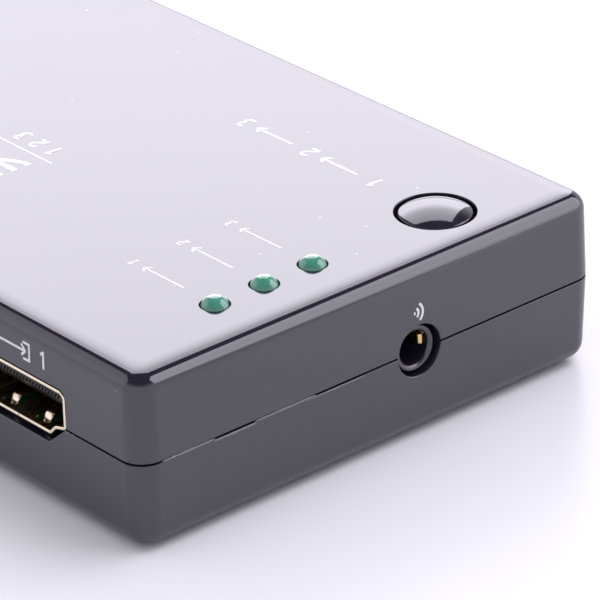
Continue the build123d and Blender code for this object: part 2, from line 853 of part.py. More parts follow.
# Body of the power inlet, with an open bore round the pin
dc_back_depth = dc_body_depth + dc_body_length
dc_foot = board_top_z - dc_axis_z
with BuildPart() as dc_jack_body:
    with BuildSketch(dc_face.offset(-dc_nose_recess)):
        Circle(dc_nose_diameter / 2)
    extrude(amount=-(dc_body_depth - dc_nose_recess))
    with BuildSketch(dc_face.offset(-dc_body_depth)):
        Rectangle(dc_body_width, -2 * dc_foot)
    extrude(amount=-dc_body_length)
    with BuildSketch(dc_face.offset(-dc_nose_recess)):
        Circle(dc_bore_diameter / 2)
    extrude(amount=-dc_bore_length, mode=Mode.SUBTRACT)
    with BuildSketch(dc_face.offset(-dc_nose_recess)):
        Rectangle(dc_tail_size + 2 * dc_tail_gap, dc_tail_size + 2 * dc_tail_gap)
    extrude(amount=-dc_back_depth, mode=Mode.SUBTRACT)
    # slot in one side for the spring contact
    with BuildSketch(dc_face.offset(-dc_spring_depth + jack_slot_gap)):
        with Locations((dc_body_width / 4, 0)):
            Rectangle(dc_body_width / 2, dc_terminal_width + 2 * jack_slot_gap)
    extrude(amount=-(dc_spring_length + 2 * jack_slot_gap), mode=Mode.SUBTRACT)
save(dc_jack_body.part, "dc_jack_body")

# Centre pin, its square tail in the body's back wall, and the terminal behind the body
dc_bore_depth = dc_nose_recess + dc_bore_length
with BuildPart() as dc_jack_pin:
    with BuildSketch(dc_face.offset(-dc_pin_recess)):
        Circle(dc_pin_diameter / 2)
    extrude(amount=-(dc_bore_depth - dc_pin_recess))
    fillet(dc_jack_pin.edges().group_by(Axis.Y)[0], dc_pin_edge_radius)
    with BuildSketch(dc_face.offset(-dc_bore_depth)):
        Rectangle(dc_tail_size, dc_tail_size)
    extrude(amount=-(dc_back_depth - dc_bore_depth))
    with BuildSketch(dc_face.offset(-dc_back_depth)):
        with Locations((0, (dc_tail_size + pin_end_z - dc_axis_z) / 2)):
            Rectangle(dc_terminal_width, dc_tail_size + dc_axis_z - pin_end_z)
    extrude(amount=-dc_terminal_metal)
save(dc_jack_pin.part, "dc_jack_pin")

# Spring contact in the body's side, with its pin through the board
dc_spring_inner = dc_bore_diameter / 2
with BuildPart() as dc_jack_contact:
    with BuildSketch(dc_face.offset(-dc_spring_depth)):
        with Locations(((dc_spring_inner + dc_body_width / 2 + dc_terminal_metal) / 2, 0)):
            Rectangle(dc_body_width / 2 + dc_terminal_metal - dc_spring_inner, dc_terminal_width)
        with Locations((dc_body_width / 2, 0)):
            Rectangle(
                dc_body_width - 2 * dc_spring_inner,
                dc_terminal_width - 2 * dc_terminal_metal,
                mode=Mode.SUBTRACT,
            )
    extrude(amount=-dc_spring_length)
    with BuildSketch(Plane.XY.offset(pin_end_z)):
        with Locations((dc_spring_x, dc_spring_y)):
            Rectangle(dc_terminal_metal, dc_terminal_width)
    extrude(amount=dc_axis_z + dc_terminal_width / 2 - pin_end_z)
save(dc_jack_contact.part, "dc_jack_contact")

# The three lights
led_base_z = top_z + led_tip_rise - led_length
for number, (x, y) in enumerate(led_places, start=1):
    led_axis = Axis((x, y, led_base_z), (0, 0, 1))
    led_section = Plane(origin=(x, y, led_base_z), x_dir=(1, 0, 0), z_dir=(0, -1, 0))
    with BuildPart() as lens:
        with BuildSketch(led_section):
            with BuildLine():
                Polyline(
                    (0, led_length),
                    (0, 0),
                    (led_flange_diameter / 2, 0),
                    (led_flange_diameter / 2, led_flange_height),
                    (led_diameter / 2, led_flange_height),
                    (led_diameter / 2, led_length - led_diameter / 2),
                )
                RadiusArc(
                    (led_diameter / 2, led_length - led_diameter / 2),
                    (0, led_length),
                    -led_diameter / 2,
                )
            make_face()
        revolve(axis=led_axis)
        with BuildSketch(Plane.XY.offset(led_base_z)):
            with Locations((x - led_lead_spacing, y), (x + led_lead_spacing, y)):
                Rectangle(led_lead + 2 * led_lead_gap, led_lead + 2 * led_lead_gap)
        extrude(amount=led_pocket_depth, mode=Mode.SUBTRACT)
    save(lens.part, "led_" + str(number) + "_lens")
    with BuildPart() as leads:
        with BuildSketch(Plane.XY.offset(pin_end_z)):
            with Locations((x - led_lead_spacing, y), (x + led_lead_spacing, y)):
                Rectangle(led_lead, led_lead)
        extrude(amount=led_base_z + led_pocket_depth - led_lead_gap - pin_end_z)
    save(leads.part, "led_" + str(number) + "_leads")

# Select button: one turned shape from the stem's foot to the dome
plunger_top_z = board_top_z + tact_height
button_rim_z = top_z - button_rim_drop
button_dome_radius = ((button_diameter / 2) ** 2 + button_dome_height**2) / (2 * button_dome_height)
flange_top_z = roof_z - button_flange_gap
button_axis = Axis((button_x, button_y, plunger_top_z), (0, 0, 1))
with BuildPart() as select_button:
    with BuildSketch(Plane(origin=(button_x, button_y, 0), x_dir=(1, 0, 0), z_dir=(0, -1, 0))):
        with BuildLine():
            Polyline(
                (0, button_rim_z + button_dome_height),
                (0, plunger_top_z),
                (button_stem_diameter / 2, plunger_top_z),
                (button_stem_diameter / 2, flange_top_z - button_flange_thickness),
                (button_flange_diameter / 2, flange_top_z - button_flange_thickness),
                (button_flange_diameter / 2, flange_top_z),
                (button_diameter / 2, flange_top_z),
                (button_diameter / 2, button_rim_z),
            )
            RadiusArc(
                (button_diameter / 2, button_rim_z),
                (0, button_rim_z + button_dome_height),
                -button_dome_radius,
            )
        make_face()
    revolve(axis=button_axis)
    rim = select_button.edges().filter_by(GeomType.CIRCLE).filter_by(
        lambda e: abs(e.center().Z - button_rim_z) < button_rim_drop
    )
    fillet(rim, button_edge_radius)
save(select_button.part, "select_button")

# Push switch: base with a round cavity
base_top_z = board_top_z + tact_base_height
cavity_floor_z = board_top_z + tact_cavity_floor
with BuildPart() as tact_base:
    with BuildSketch(Plane.XY.offset(board_top_z)):
        with Locations((button_x, button_y)):
            Rectangle(tact_size, tact_size)
    extrude(amount=tact_base_height)
    with BuildSketch(Plane.XY.offset(cavity_floor_z)):
        with Locations((button_x, button_y)):
            Circle(tact_cavity_diameter / 2)
    extrude(amount=base_top_z - cavity_floor_z, mode=Mode.SUBTRACT)
save(tact_base.part, "tact_base")

# Cover plate with two tabs folded down over the base
with BuildPart() as tact_cover:
    with BuildSketch(Plane.XY.offset(base_top_z)):
        with Locations((button_x, button_y)):
            Rectangle(tact_size, tact_size + 2 * tact_cover_thickness)
            Circle(plunger_diameter / 2 + plunger_hole_gap, mode=Mode.SUBTRACT)
    extrude(amount=tact_cover_thickness)
    with BuildSketch(Plane.XY.offset(base_top_z - tact_tab_drop)):
        with Locations(
            (button_x, button_y - (tact_size + tact_cover_thickness) / 2),
            (button_x, button_y + (tact_size + tact_cover_thickness) / 2),
        ):
            Rectangle(tact_tab_width, tact_cover_thickness)
    extrude(amount=tact_tab_drop + tact_cover_thickness)
save(tact_cover.part, "tact_cover")

# Snap dome: a thin cap of a sphere on the cavity's floor
dome_outer_radius = ((dome_diameter / 2) ** 2 + dome_height**2) / (2 * dome_height)
dome_inner_radius = dome_outer_radius - dome_thickness
dome_centre_z = cavity_floor_z + dome_height - dome_outer_radius
with BuildPart() as tact_dome:
    with Locations((button_x, button_y, dome_centre_z)):
        Sphere(dome_outer_radius)
        Sphere(dome_inner_radius, mode=Mode.SUBTRACT)
    with Locations((button_x, button_y, cavity_floor_z)):
        Cylinder(
            dome_outer_radius + overrun,
            2 * dome_outer_radius,
            align=(Align.CENTER, Align.CENTER, Align.MIN),
            mode=Mode.INTERSECT,
        )
save(tact_dome.part, "tact_dome")

# Plunger: a nub on the dome, a flange under the cover and a round head
nub_z = cavity_floor_z + dome_height + plunger_nub_gap
plunger_flange_z = base_top_z - plunger_stop_gap - plunger_flange_thickness
with BuildPart() as tact_plunger:
    with BuildSketch(Plane.XY.offset(nub_z)):
        with Locations((button_x, button_y)):
            Circle(plunger_nub_diameter / 2)
    extrude(amount=plunger_flange_z - nub_z)
    with BuildSketch(Plane.XY.offset(plunger_flange_z)):
        with Locations((button_x, button_y)):
            Circle(plunger_flange_diameter / 2)
    extrude(amount=plunger_flange_thickness)
    with BuildSketch(Plane.XY.offset(plunger_flange_z)):
        with Locations((button_x, button_y)):
            Circle(plunger_diameter / 2)
    extrude(amount=plunger_top_z - plunger_flange_z)
save(tact_plunger.part, "tact_plunger")

# Four terminals on the sides of the base, through the board
with BuildPart() as tact_terminals:
    with BuildSketch(Plane.XY.offset(pin_end_z)):
        with Locations(*tact_pin_places):
            Rectangle(tact_pin_metal, tact_pin_width)
    extrude(amount=board_top_z + tact_pin_climb - pin_end_z)
save(tact_terminals.part, "tact_terminals")


def make_chip_body(place, length, width, height):
    """Moulded body of a chip, just above the board, with bevelled top edges."""
    with BuildPart() as body:
        with BuildSketch(Plane.XY.offset(board_top_z + chip_standoff)):
            with Locations(place):
                Rectangle(length, width)
        extrude(amount=height)
        chamfer(body.edges().group_by(Axis.Z)[-1], chip_edge)
    return body.part


def lead_planes(place, half_width, outward, places):
    """Upright planes for the leads on one side of a chip: x leaves the chip, y is up."""
    away = Vector(*outward)
    up = Vector(0, 0, 1)
    along = away.cross(up)
    start = Vector(place[0], place[1], board_top_z) + away * half_width
    return [Plane(origin=start + along * step, x_dir=away, z_dir=along) for step in places]


def lead_outline(height, reach, metal):
    """Gull-wing lead: out of the body, down, and flat on the board."""
    knee = height * chip_lead_climb_share
    shoulder = reach * chip_shoulder_share
    return (
        (0, knee),
        (shoulder, knee),
        (shoulder, metal),
        (reach, metal),
        (reach, 0),
        (shoulder - metal, 0),
        (shoulder - metal, knee - metal),
        (0, knee - metal),
    )


def lead_steps(count, length, end_gap):
    """Even steps of the leads along a chip's side, from one end gap to the other."""
    span = length - 2 * end_gap - chip_lead_width
    return centred(count, span / (count - 1))


def make_leads(rows, width):
    """Leads drawn on the planes of each row, with the row's outline."""
    with BuildPart() as leads:
        for planes, outline in rows:
            with BuildSketch(*planes):
                with BuildLine():
                    Polyline(*outline, close=True)
                make_face()
            extrude(amount=width / 2, both=True)
    return leads.part


# Switching chip, with leads on its four sides
switch_chip_place = board_place(switch_chip_shares)
switch_outline = lead_outline(switch_chip_height, chip_lead_reach, chip_lead_metal)
save(
    make_chip_body(switch_chip_place, switch_chip_size, switch_chip_size, switch_chip_height),
    "switch_chip_body",
)
switch_steps = lead_steps(switch_chip_lead_count, switch_chip_size, switch_chip_end_gap)
switch_rows = [
    (lead_planes(switch_chip_place, switch_chip_size / 2, away, switch_steps), switch_outline)
    for away in ((1, 0, 0), (0, 1, 0), (-1, 0, 0), (0, -1, 0))
]
save(make_leads(switch_rows, chip_lead_width), "switch_chip_leads")

# Control chip, with leads on its two long sides
control_chip_place = board_place(control_chip_shares)
control_outline = lead_outline(control_chip_height, chip_lead_reach, chip_lead_metal)
save(
    make_chip_body(
        control_chip_place, control_chip_length, control_chip_width, control_chip_height
    ),
    "control_chip_body",
)
control_steps = lead_steps(control_chip_lead_count, control_chip_length, control_chip_end_gap)
control_rows = [
    (lead_planes(control_chip_place, control_chip_width / 2, away, control_steps), control_outline)
    for away in ((0, 1, 0), (0, -1, 0))
]
save(make_leads(control_rows, chip_lead_width), "control_chip_leads")

# Voltage regulator, with three leads and a wide tab opposite them
regulator_place = board_place(regulator_shares)
save(
    make_chip_body(regulator_place, regulator_length, regulator_width, regulator_height),
    "regulator_body",
)
regulator_outline = lead_outline(regulator_height, regulator_lead_reach, regulator_lead_metal)
regulator_steps = centred(regulator_lead_count, regulator_lead_pitch)
with BuildPart() as regulator_leads:
    with BuildSketch(
        *lead_planes(regulator_place, regulator_width / 2, (0, -1, 0), regulator_steps)
    ):
        add(draw_outline(regulator_outline))
    extrude(amount=regulator_lead_width / 2, both=True)
    with BuildSketch(*lead_planes(regulator_place, regulator_width / 2, (0, 1, 0), [0])):
        add(draw_outline(regulator_outline))
    extrude(amount=regulator_tab_width / 2, both=True)
save(regulator_leads.part, "regulator_leads")

# Crystal: a rounded metal can on a thin rim
crystal_place = board_place(crystal_shares)
with BuildPart() as crystal_can:
    with BuildSketch(Plane.XY.offset(board_top_z)):
        with Locations(crystal_place):
            SlotOverall(crystal_length, crystal_width)
    extrude(amount=crystal_rim_height)
    with BuildSketch(Plane.XY.offset(board_top_z)):
        with Locations(crystal_place):
            SlotOverall(crystal_length - 2 * crystal_rim, crystal_width - 2 * crystal_rim)
    extrude(amount=crystal_height)
    fillet(crystal_can.edges().group_by(Axis.Z)[-1], crystal_rim)
save(crystal_can.part, "crystal_can")

# Two aluminium capacitors: a plastic base with two cut corners under each grooved can
can_places = [board_place(shares) for shares in can_shares]
with BuildPart() as capacitor_bases:
    with BuildSketch(Plane.XY.offset(board_top_z)):
        with Locations(*can_places):
            Rectangle(can_base_size, can_base_size)
    extrude(amount=can_base_height)
    for base in capacitor_bases.solids():
        chamfer(base.edges().filter_by(Axis.Z).group_by(Axis.X)[0], can_base_corner)
save(capacitor_bases.part, "capacitor_bases")

with BuildPart() as capacitor_cans:
    with BuildSketch(Plane.XY.offset(board_top_z + can_base_height)):
        with Locations(*can_places):
            Circle(can_diameter / 2)
    extrude(amount=can_height)
    fillet(capacitor_cans.edges().group_by(Axis.Z)[-1], can_groove_depth)
    with BuildSketch(Plane.XY.offset(board_top_z + can_base_height + can_groove_rise)):
        with Locations(*can_places):
            Circle(can_diameter / 2 + overrun)
            Circle(can_diameter / 2 - can_groove_depth, mode=Mode.SUBTRACT)
    extrude(amount=can_groove_height, mode=Mode.SUBTRACT)
save(capacitor_cans.part, "capacitor_cans")

# Small chips: resistors behind each port, capacitors beside the switching chip
feet_end_depth = (
    port_back_depth + core_flange_thickness + contact_standoff + contact_thickness + contact_foot
)
resistor_places = []
for port_face in ports.values():
    for step in centred(port_resistor_count, small_pitch):
        place = port_face.origin + port_face.x_dir * step
        place = place - port_face.z_dir * (feet_end_depth + small_gap + small_length / 2)
        resistor_places.append((place.X, place.Y))
chip_side = switch_chip_size / 2 + chip_lead_reach + small_gap + small_length / 2
capacitor_places = [
    (switch_chip_place[0] + side * chip_side, switch_chip_place[1] + step)
    for side in (-1, 1)
    for step in centred(side_capacitor_count, small_pitch)
]
with BuildPart() as chip_resistors:
    with BuildSketch(Plane.XY.offset(board_top_z)):
        with Locations(*resistor_places):
            Rectangle(small_width, small_length)
    extrude(amount=small_height)
save(chip_resistors.part, "chip_resistors")
with BuildPart() as chip_capacitors:
    with BuildSketch(Plane.XY.offset(board_top_z)):
        with Locations(*capacitor_places):
            Rectangle(small_length, small_width)
    extrude(amount=small_height)
save(chip_capacitors.part, "chip_capacitors")
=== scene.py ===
import json
import math

import bpy
import numpy as np
from bpy.props import FloatProperty, FloatVectorProperty, PointerProperty
from mathutils import Matrix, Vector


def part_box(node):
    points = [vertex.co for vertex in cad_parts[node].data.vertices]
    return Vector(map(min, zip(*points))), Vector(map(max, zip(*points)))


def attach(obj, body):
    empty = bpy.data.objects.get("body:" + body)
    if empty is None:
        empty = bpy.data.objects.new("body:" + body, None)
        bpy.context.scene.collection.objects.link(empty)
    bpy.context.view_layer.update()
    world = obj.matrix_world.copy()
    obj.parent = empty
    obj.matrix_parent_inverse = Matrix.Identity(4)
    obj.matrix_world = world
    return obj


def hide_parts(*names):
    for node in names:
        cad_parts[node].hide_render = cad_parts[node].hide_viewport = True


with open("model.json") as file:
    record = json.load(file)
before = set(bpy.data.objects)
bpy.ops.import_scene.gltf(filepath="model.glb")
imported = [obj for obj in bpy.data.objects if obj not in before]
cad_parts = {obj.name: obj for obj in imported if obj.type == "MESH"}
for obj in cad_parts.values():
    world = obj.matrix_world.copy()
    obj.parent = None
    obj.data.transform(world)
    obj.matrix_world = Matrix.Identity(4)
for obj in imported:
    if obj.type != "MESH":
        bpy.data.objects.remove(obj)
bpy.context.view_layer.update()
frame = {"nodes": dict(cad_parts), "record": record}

bl_info = {
    "name": "Switch box",
    "version": (1, 0, 0),
    "blender": (4, 5, 0),
    "location": "3D View > Sidebar > Switch box",
    "description": "Dresses the packed frame of a small video switch box with its finished pieces",
    "category": "Object",
}

# Shapes are worked out in millimetres, and put_mesh writes them in metres.
MM = 0.001


def span(node):
    """Lowest and highest corner of a CAD node, in millimetres."""
    low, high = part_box(node)
    return np.array(low) / MM, np.array(high) / MM


def middle(node):
    """Centre of a CAD node, in millimetres."""
    low, high = span(node)
    return (low + high) / 2


# Heights and plan of the case, read from the frame
UPPER_HIGH = span("upper_shell")[1]
LOWER_LOW, LOWER_HIGH = span("lower_shell")
BOARD_LOW, BOARD_HIGH = span("circuit_board")
HALF_X, HALF_Y = LOWER_HIGH[:2]
TOP_Z, UNDER_Z = UPPER_HIGH[2], LOWER_LOW[2]
PARTING_Z = (TOP_Z + UNDER_Z) / 2
BOARD_TOP_Z, BOARD_UNDER_Z = BOARD_HIGH[2], BOARD_LOW[2]
FOOT_RADIUS = 4.0
POST_X, POST_Y = span("rubber_feet")[1][:2] - FOOT_RADIUS
POSTS = [(x, y) for x in (-POST_X, POST_X) for y in (-POST_Y, POST_Y)]
DC_AXIS_Z = BOARD_TOP_Z + 3.2
PORTS = {"hdmi_in_1": 1, "hdmi_in_2": 1, "hdmi_in_3": 1, "hdmi_out": -1}
LENSES = ("led_1_lens", "led_2_lens", "led_3_lens")

# Walls: how far they lean in for each millimetre of height, thicknesses, and the plan's corners
UPPER_LEAN, LOWER_LEAN = math.tan(math.radians(1.5)), math.tan(math.radians(2.5))
WALL, ROOF, FLOOR = 2.0, 2.0, 2.0
CORNER = 2.6
SHADOW_GAP, SEAM_ROUND = 0.22, 0.05
# How far a cutter reaches past the surface that it opens
BEYOND = 2.0


# ---- surfaces ----

def rounded_outline(corners, radii, steps=9):
    """Closed outline, counter-clockwise, whose corners are arcs. A point on an arc is the arc's
    centre plus the radius times a unit normal that turns evenly from the edge before the corner
    to the edge after it. The centre is the corner less the sum of both normals times
    radius / (1 + their dot product). A radius below zero rounds an inner corner."""
    p = np.asarray(corners, float)
    r = np.broadcast_to(np.asarray(radii, float), (len(p),))[:, None]
    after = np.roll(p, -1, axis=0) - p
    after /= np.linalg.norm(after, axis=1, keepdims=True)
    n1 = np.stack([after[:, 1], -after[:, 0]], axis=1)
    n0 = np.roll(n1, 1, axis=0)
    centre = p - (n0 + n1) * r / (1 + (n0 * n1).sum(axis=1, keepdims=True))
    start = np.arctan2(n0[:, 1], n0[:, 0])
    turn = np.arctan2(n1[:, 1], n1[:, 0]) - start
    turn = (turn + np.pi) % (2 * np.pi) - np.pi
    angle = start[:, None] + turn[:, None] * np.linspace(0, 1, steps)
    normal = np.stack([np.cos(angle), np.sin(angle)], axis=2)
    points = centre[:, None] + r[:, :, None] * normal
    return points.reshape(-1, 2), normal.reshape(-1, 2)


def mirrored_outline(right, radii, steps=9):
    """Rounded outline of a form that is the same on both sides, from its right-hand corners."""
    return rounded_outline(right + [(-x, y) for x, y in reversed(right)], radii + radii[::-1], steps)


def rectangle(length, width, radius, steps=9):
    """Rounded rectangle about the origin."""
    x, y = length / 2, width / 2
    return rounded_outline([(-x, -y), (x, -y), (x, y), (-x, y)], radius, steps)


def arc(centre, radius, start, end, steps=7):
    """Points of an arc in degrees: the centre plus the radius times the cosine and the sine."""
    angle = np.radians(np.linspace(start, end, steps))
    return np.array(centre) + radius * np.stack([np.cos(angle), np.sin(angle)], axis=1)


def rolled_edge(top, out, arcs, steps=9):
    """Edge between a wall and a flat top: arcs that follow each other at a tangent, each given
    as radius, first and last angle. It ends at the height top, and the wall would meet the flat
    top at the growth out."""
    rise = sum(r * (math.sin(math.radians(b)) - math.sin(math.radians(a))) for r, a, b in arcs)
    place = np.array([out + rise * math.tan(math.radians(arcs[0][1])), top - rise])
    rows = [place[None]]
    for radius, first, last in arcs:
        turn = arc((0, 0), radius, first, last, steps)
        rows.append(rows[-1][-1] + turn[1:] - turn[0])
    return np.vstack(rows)


def carry(outline, stations):
    """An outline carried along its axis: at each station it is moved out along its normals by
    the station's growth and up by its height. Row i, column j is station i, outline point j."""
    points, normals = outline
    s = np.asarray(stations, float)
    flat = points[None] + normals[None] * s[:, :1, None]
    height = np.broadcast_to(s[:, None, 1:], flat.shape[:2] + (1,))
    return np.concatenate([flat, height], axis=2)


def carry_box(length, width, radius, stations, least=1.1, steps=13):
    """A rounded rectangle carried like any outline, whose corners keep a least radius where a
    station moves further in than their radius."""
    rows = []
    for grow, height in np.asarray(stations, float):
        points, _ = rectangle(length + 2 * grow, width + 2 * grow, max(radius + grow, least), steps)
        rows.append(np.column_stack([points, np.full(len(points), height)]))
    return np.stack(rows)


def closed(grid, loop=False):
    """Solid of a grid that wraps round its columns: quads between neighbouring rows, and a face
    over each end, or where loop is set quads from the last row back to the first."""
    rows, cols = grid.shape[:2]
    index = np.arange(rows * cols).reshape(rows, cols)
    low = index if loop else index[:-1]
    high = np.roll(index, -1, axis=0) if loop else index[1:]
    quads = np.stack([low, np.roll(low, -1, 1), np.roll(high, -1, 1), high], axis=2)
    faces = quads.reshape(-1, 4).tolist()
    if not loop:
        faces += [index[0, ::-1].tolist(), index[-1].tolist()]
    return grid.reshape(-1, 3), faces


def turned(profile, steps=48, loop=False):
    """Solid of a profile of radius and height turned about the upright axis: at each of its
    points the unit circle is grown to the radius."""
    angle = np.linspace(0, 2 * np.pi, steps, endpoint=False)
    unit = np.stack([np.cos(angle), np.sin(angle)], axis=1)
    return closed(carry((unit * 0, unit), profile), loop)


def drum(radius, low, high):
    """Profile of a plain round bar between two heights."""
    return [(0.0, low), (radius, low), (radius, high), (0.0, high)]


def bar(length, width, radius, low, high, steps=3):
    """Solid bar of a rounded rectangular section between two heights."""
    return closed(carry(rectangle(length, width, radius, steps), [(0.0, low), (0.0, high)]))


def strip(path, thickness, widths, edge=0.3):
    """Bent strip: a rounded rectangular section carried along a path of depth and height. The
    section's up is the path's normal, and its sideways is x."""
    p = np.asarray(path, float)
    along = np.gradient(p, axis=0)
    along /= np.linalg.norm(along, axis=1, keepdims=True)
    normal = np.stack([-along[:, 1], along[:, 0]], axis=1)
    w = np.broadcast_to(np.asarray(widths, float), (len(p),))
    section, _ = rectangle(2.0, 2.0, edge * 2, 4)
    lift = section[:, 1] * thickness / 2
    grid = np.stack([
        section[:, 0] * w[:, None] / 2, p[:, :1] + normal[:, :1] * lift, p[:, 1:] + normal[:, 1:] * lift,
    ], axis=2)
    return closed(grid[::-1])


def spline(points, per_span=6):
    """Uniform cubic B-spline of control points whose ends are repeated: at t between two knots
    the four nearest points are weighted by (1-t)^3, 3t^3-6t^2+4, -3t^3+3t^2+3t+1 and t^3, over 6."""
    p = np.asarray(points, float)
    p = np.vstack([p[:1], p[:1], p, p[-1:], p[-1:]])
    t = np.linspace(0, 1, per_span, endpoint=False)
    weights = np.stack([
        (1 - t) ** 3, 3 * t**3 - 6 * t**2 + 4, -3 * t**3 + 3 * t**2 + 3 * t + 1, t**3], axis=1) / 6
    windows = np.stack([p[k:len(p) - 3 + k] for k in range(4)], axis=1)
    return np.vstack([np.einsum("tk,skc->stc", weights, windows).reshape(-1, p.shape[1]), p[-1:]])


def moved(solid, x=0.0, y=0.0, z=0.0):
    """A solid moved by a distance along each axis."""
    return solid[0] + (x, y, z), solid[1]


def stood_up(solid, x=0.0):
    """A strip along the way out of the case, moved sideways: its height becomes y and its depth
    z, and its faces are turned round because that mirrors it."""
    points, faces = solid
    return points[:, [0, 2, 1]] + (x, 0, 0), [face[::-1] for face in faces]


def placed(solid, origin, x_axis=(1, 0, 0), y_axis=(0, 1, 0), z_axis=(0, 0, 1)):
    """A solid whose local x, y and z lie along three axes of the frame."""
    points, faces = solid
    axes = np.array([x_axis, y_axis, z_axis], float)
    return np.asarray(origin, float) + points @ axes, faces


def on_side(solid, origin, outward):
    """A solid on an upright side of the case: its z leaves the case and its y is up."""
    return placed(solid, origin, np.cross((0, 0, 1), outward), (0, 0, 1), outward)


def leaning(solid, outward):
    """A solid that follows the draft of the wall: it moves in by the lean times the distance
    from the parting line."""
    points, faces = solid
    rise = points[:, 2] - PARTING_Z
    lean = np.where(rise > 0, rise * UPPER_LEAN, -rise * LOWER_LEAN)
    return points - lean[:, None] * np.array(outward, float), faces


def flare(radius, out=BEYOND, steps=6):
    """Stations of a cutter whose mouth rounds the edge of its hole: growth and height over the
    surface. The rounding meets the surface at a tangent, and the cutter then runs on outwards."""
    angle = np.radians(np.linspace(90, 0, steps))
    rounding = np.stack([radius * (1 - np.sin(angle)), radius * (np.cos(angle) - 1)], axis=1)
    past = rounding[-1] + 2 * (rounding[-1] - rounding[-2])
    return np.vstack([rounding[:-1], past, (past[0], out)])


def posts(profile, places, steps=32, loop=False):
    """Turned solids of one profile at several places of the plan."""
    return [placed(turned(profile, steps, loop), (x, y, 0)) for x, y in places]


# ---- pieces ----

def put_mesh(name, solids, merge=0.0):
    """A mesh object of closed solids given in millimetres. Points nearer than merge are joined,
    which closes the pole of a turned solid."""
    count, points, faces = 0, [], []
    for verts, polys in solids:
        points.append(verts)
        faces += [[i + count for i in poly] for poly in polys]
        count += len(verts)
    mesh = bpy.data.meshes.new(name)
    mesh.from_pydata((np.vstack(points) * MM).tolist(), [], faces)
    piece = bpy.data.objects.new(name, mesh)
    bpy.context.scene.collection.objects.link(piece)
    if merge:
        weld = piece.modifiers.new("Weld", "WELD")
        weld.merge_threshold = merge * MM
    return piece


def settle(piece):
    """Writes a piece's modifiers into its mesh."""
    graph = bpy.context.evaluated_depsgraph_get()
    made = bpy.data.meshes.new_from_object(piece.evaluated_get(graph))
    old = piece.data
    piece.modifiers.clear()
    piece.data = made
    bpy.data.meshes.remove(old)
    made.name = piece.name


def combine(piece, solids, operation):
    """Cuts closed solids out of a piece, or joins them to it, and deletes them."""
    tool = put_mesh(piece.name + "_tool", solids)
    change = piece.modifiers.new(operation, "BOOLEAN")
    change.operation = operation
    change.solver = "EXACT"
    change.use_self = True
    change.object = tool
    settle(piece)
    old = tool.data
    bpy.data.objects.remove(tool)
    bpy.data.meshes.remove(old)


def finish_piece(piece, body, material, nodes, angle=32):
    """Smooth faces with normals weighted by area, a finish, a body and the nodes it stands for.
    Edges sharper than the angle in degrees stay sharp."""
    settle(piece)
    mesh = piece.data
    mesh.shade_smooth()
    mesh.set_sharp_from_angle(angle=math.radians(angle))
    weigh = piece.modifiers.new("Weighted normals", "WEIGHTED_NORMAL")
    weigh.keep_sharp = True
    settle(piece)
    piece.data.materials.clear()
    piece.data.materials.append(material)
    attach(piece, body)
    if nodes:
        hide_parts(*nodes)
    return piece


# ---- receptacles' outlines and places ----

def port_outline(grow=0.0):
    """The stepped outline of a receptacle's metal shell about its axis on the parting line."""
    right = [(5.0, -1.45), (5.9, -0.55), (7.5, -0.1), (7.5, 3.95)]
    points, normals = mirrored_outline(right, [0.5, -0.5, 0.5, 0.9])
    return points + normals * grow, normals


def under_outline():
    """The lower shell's opening for a receptacle: sloping sides and a floor well under it."""
    return mirrored_outline([(4.68, -2.35), (7.65, 0.1), (7.65, 3.95)], [0.5, 0.0, 0.0])


def port_place(node):
    """Place of a receptacle's axis on the face of its side, and the way out of the case."""
    side = PORTS[node]
    return (middle(node + "_shell")[0], side * HALF_Y, PARTING_Z), (0, side, 0)


def port_point(node, side, depth):
    """Point beside a receptacle's axis, at a depth behind the face of its side."""
    origin, outward = port_place(node)
    return np.array(origin) + np.cross((0, 0, 1), outward) * side - np.array(outward) * depth


def side_openings(upper, lip):
    """Cutters of every opening in the sides, with rounded mouths that follow the walls' draft."""
    stations = np.vstack([[(0.0, -WALL - BEYOND)], flare(lip)])
    cutters = []
    for node in PORTS:
        outline = port_outline(0.15) if upper else under_outline()
        cutters.append((closed(carry(outline, stations)), *port_place(node)))
    holes = (
        ((-HALF_X, middle("ir_jack_body")[1], PARTING_Z), (-1, 0, 0), 2.8),
        ((middle("dc_jack_pin")[0], -HALF_Y, DC_AXIS_Z), (0, -1, 0), 3.2),
    )
    for origin, outward, radius in holes:
        cutters.append((turned(stations + (radius, 0), 64), origin, outward))
    return [leaning(on_side(solid, origin, outward), outward) for solid, origin, outward in cutters]


# ---- materials ----

def node_tree(name):
    """An empty material, its tree and its Principled shader."""
    made = bpy.data.materials.new(name)
    made.use_nodes = True
    tree = made.node_tree
    tree.nodes.clear()
    out = tree.nodes.new("ShaderNodeOutputMaterial")
    shader = tree.nodes.new("ShaderNodeBsdfPrincipled")
    tree.links.new(shader.outputs["BSDF"], out.inputs["Surface"])
    return made, tree, shader


def add_node(tree, kind, inputs=None, **settings):
    """A node with its settings, and its inputs set by name to values or linked sockets."""
    node = tree.nodes.new(kind)
    for key, value in settings.items():
        setattr(node, key, value)
    for key, value in (inputs or {}).items():
        socket = node.inputs[key]
        if isinstance(value, bpy.types.NodeSocket):
            tree.links.new(value, socket)
        else:
            socket.default_value = value
    return node


def set_inputs(shader, **values):
    """Sets a shader's own sockets, named with underscores for their spaces."""
    for label, value in values.items():
        shader.inputs[label.replace("_", " ")].default_value = value


def colour(rgb, gain=1.0):
    """A colour times a gain, with full alpha."""
    return (*[value * gain for value in rgb[:3]], 1.0)


def mixed_base(tree, shader, share, low, high):
    """Joins the base colour to a mix of two colours by a share that changes over the surface."""
    mix = add_node(tree, "ShaderNodeMix", {"Factor": share, "A": low, "B": high}, data_type="RGBA")
    tree.links.new(mix.outputs["Result"], shader.inputs["Base Color"])


def object_place(tree):
    """The socket of a point's place on its object."""
    return add_node(tree, "ShaderNodeTexCoord").outputs["Object"]


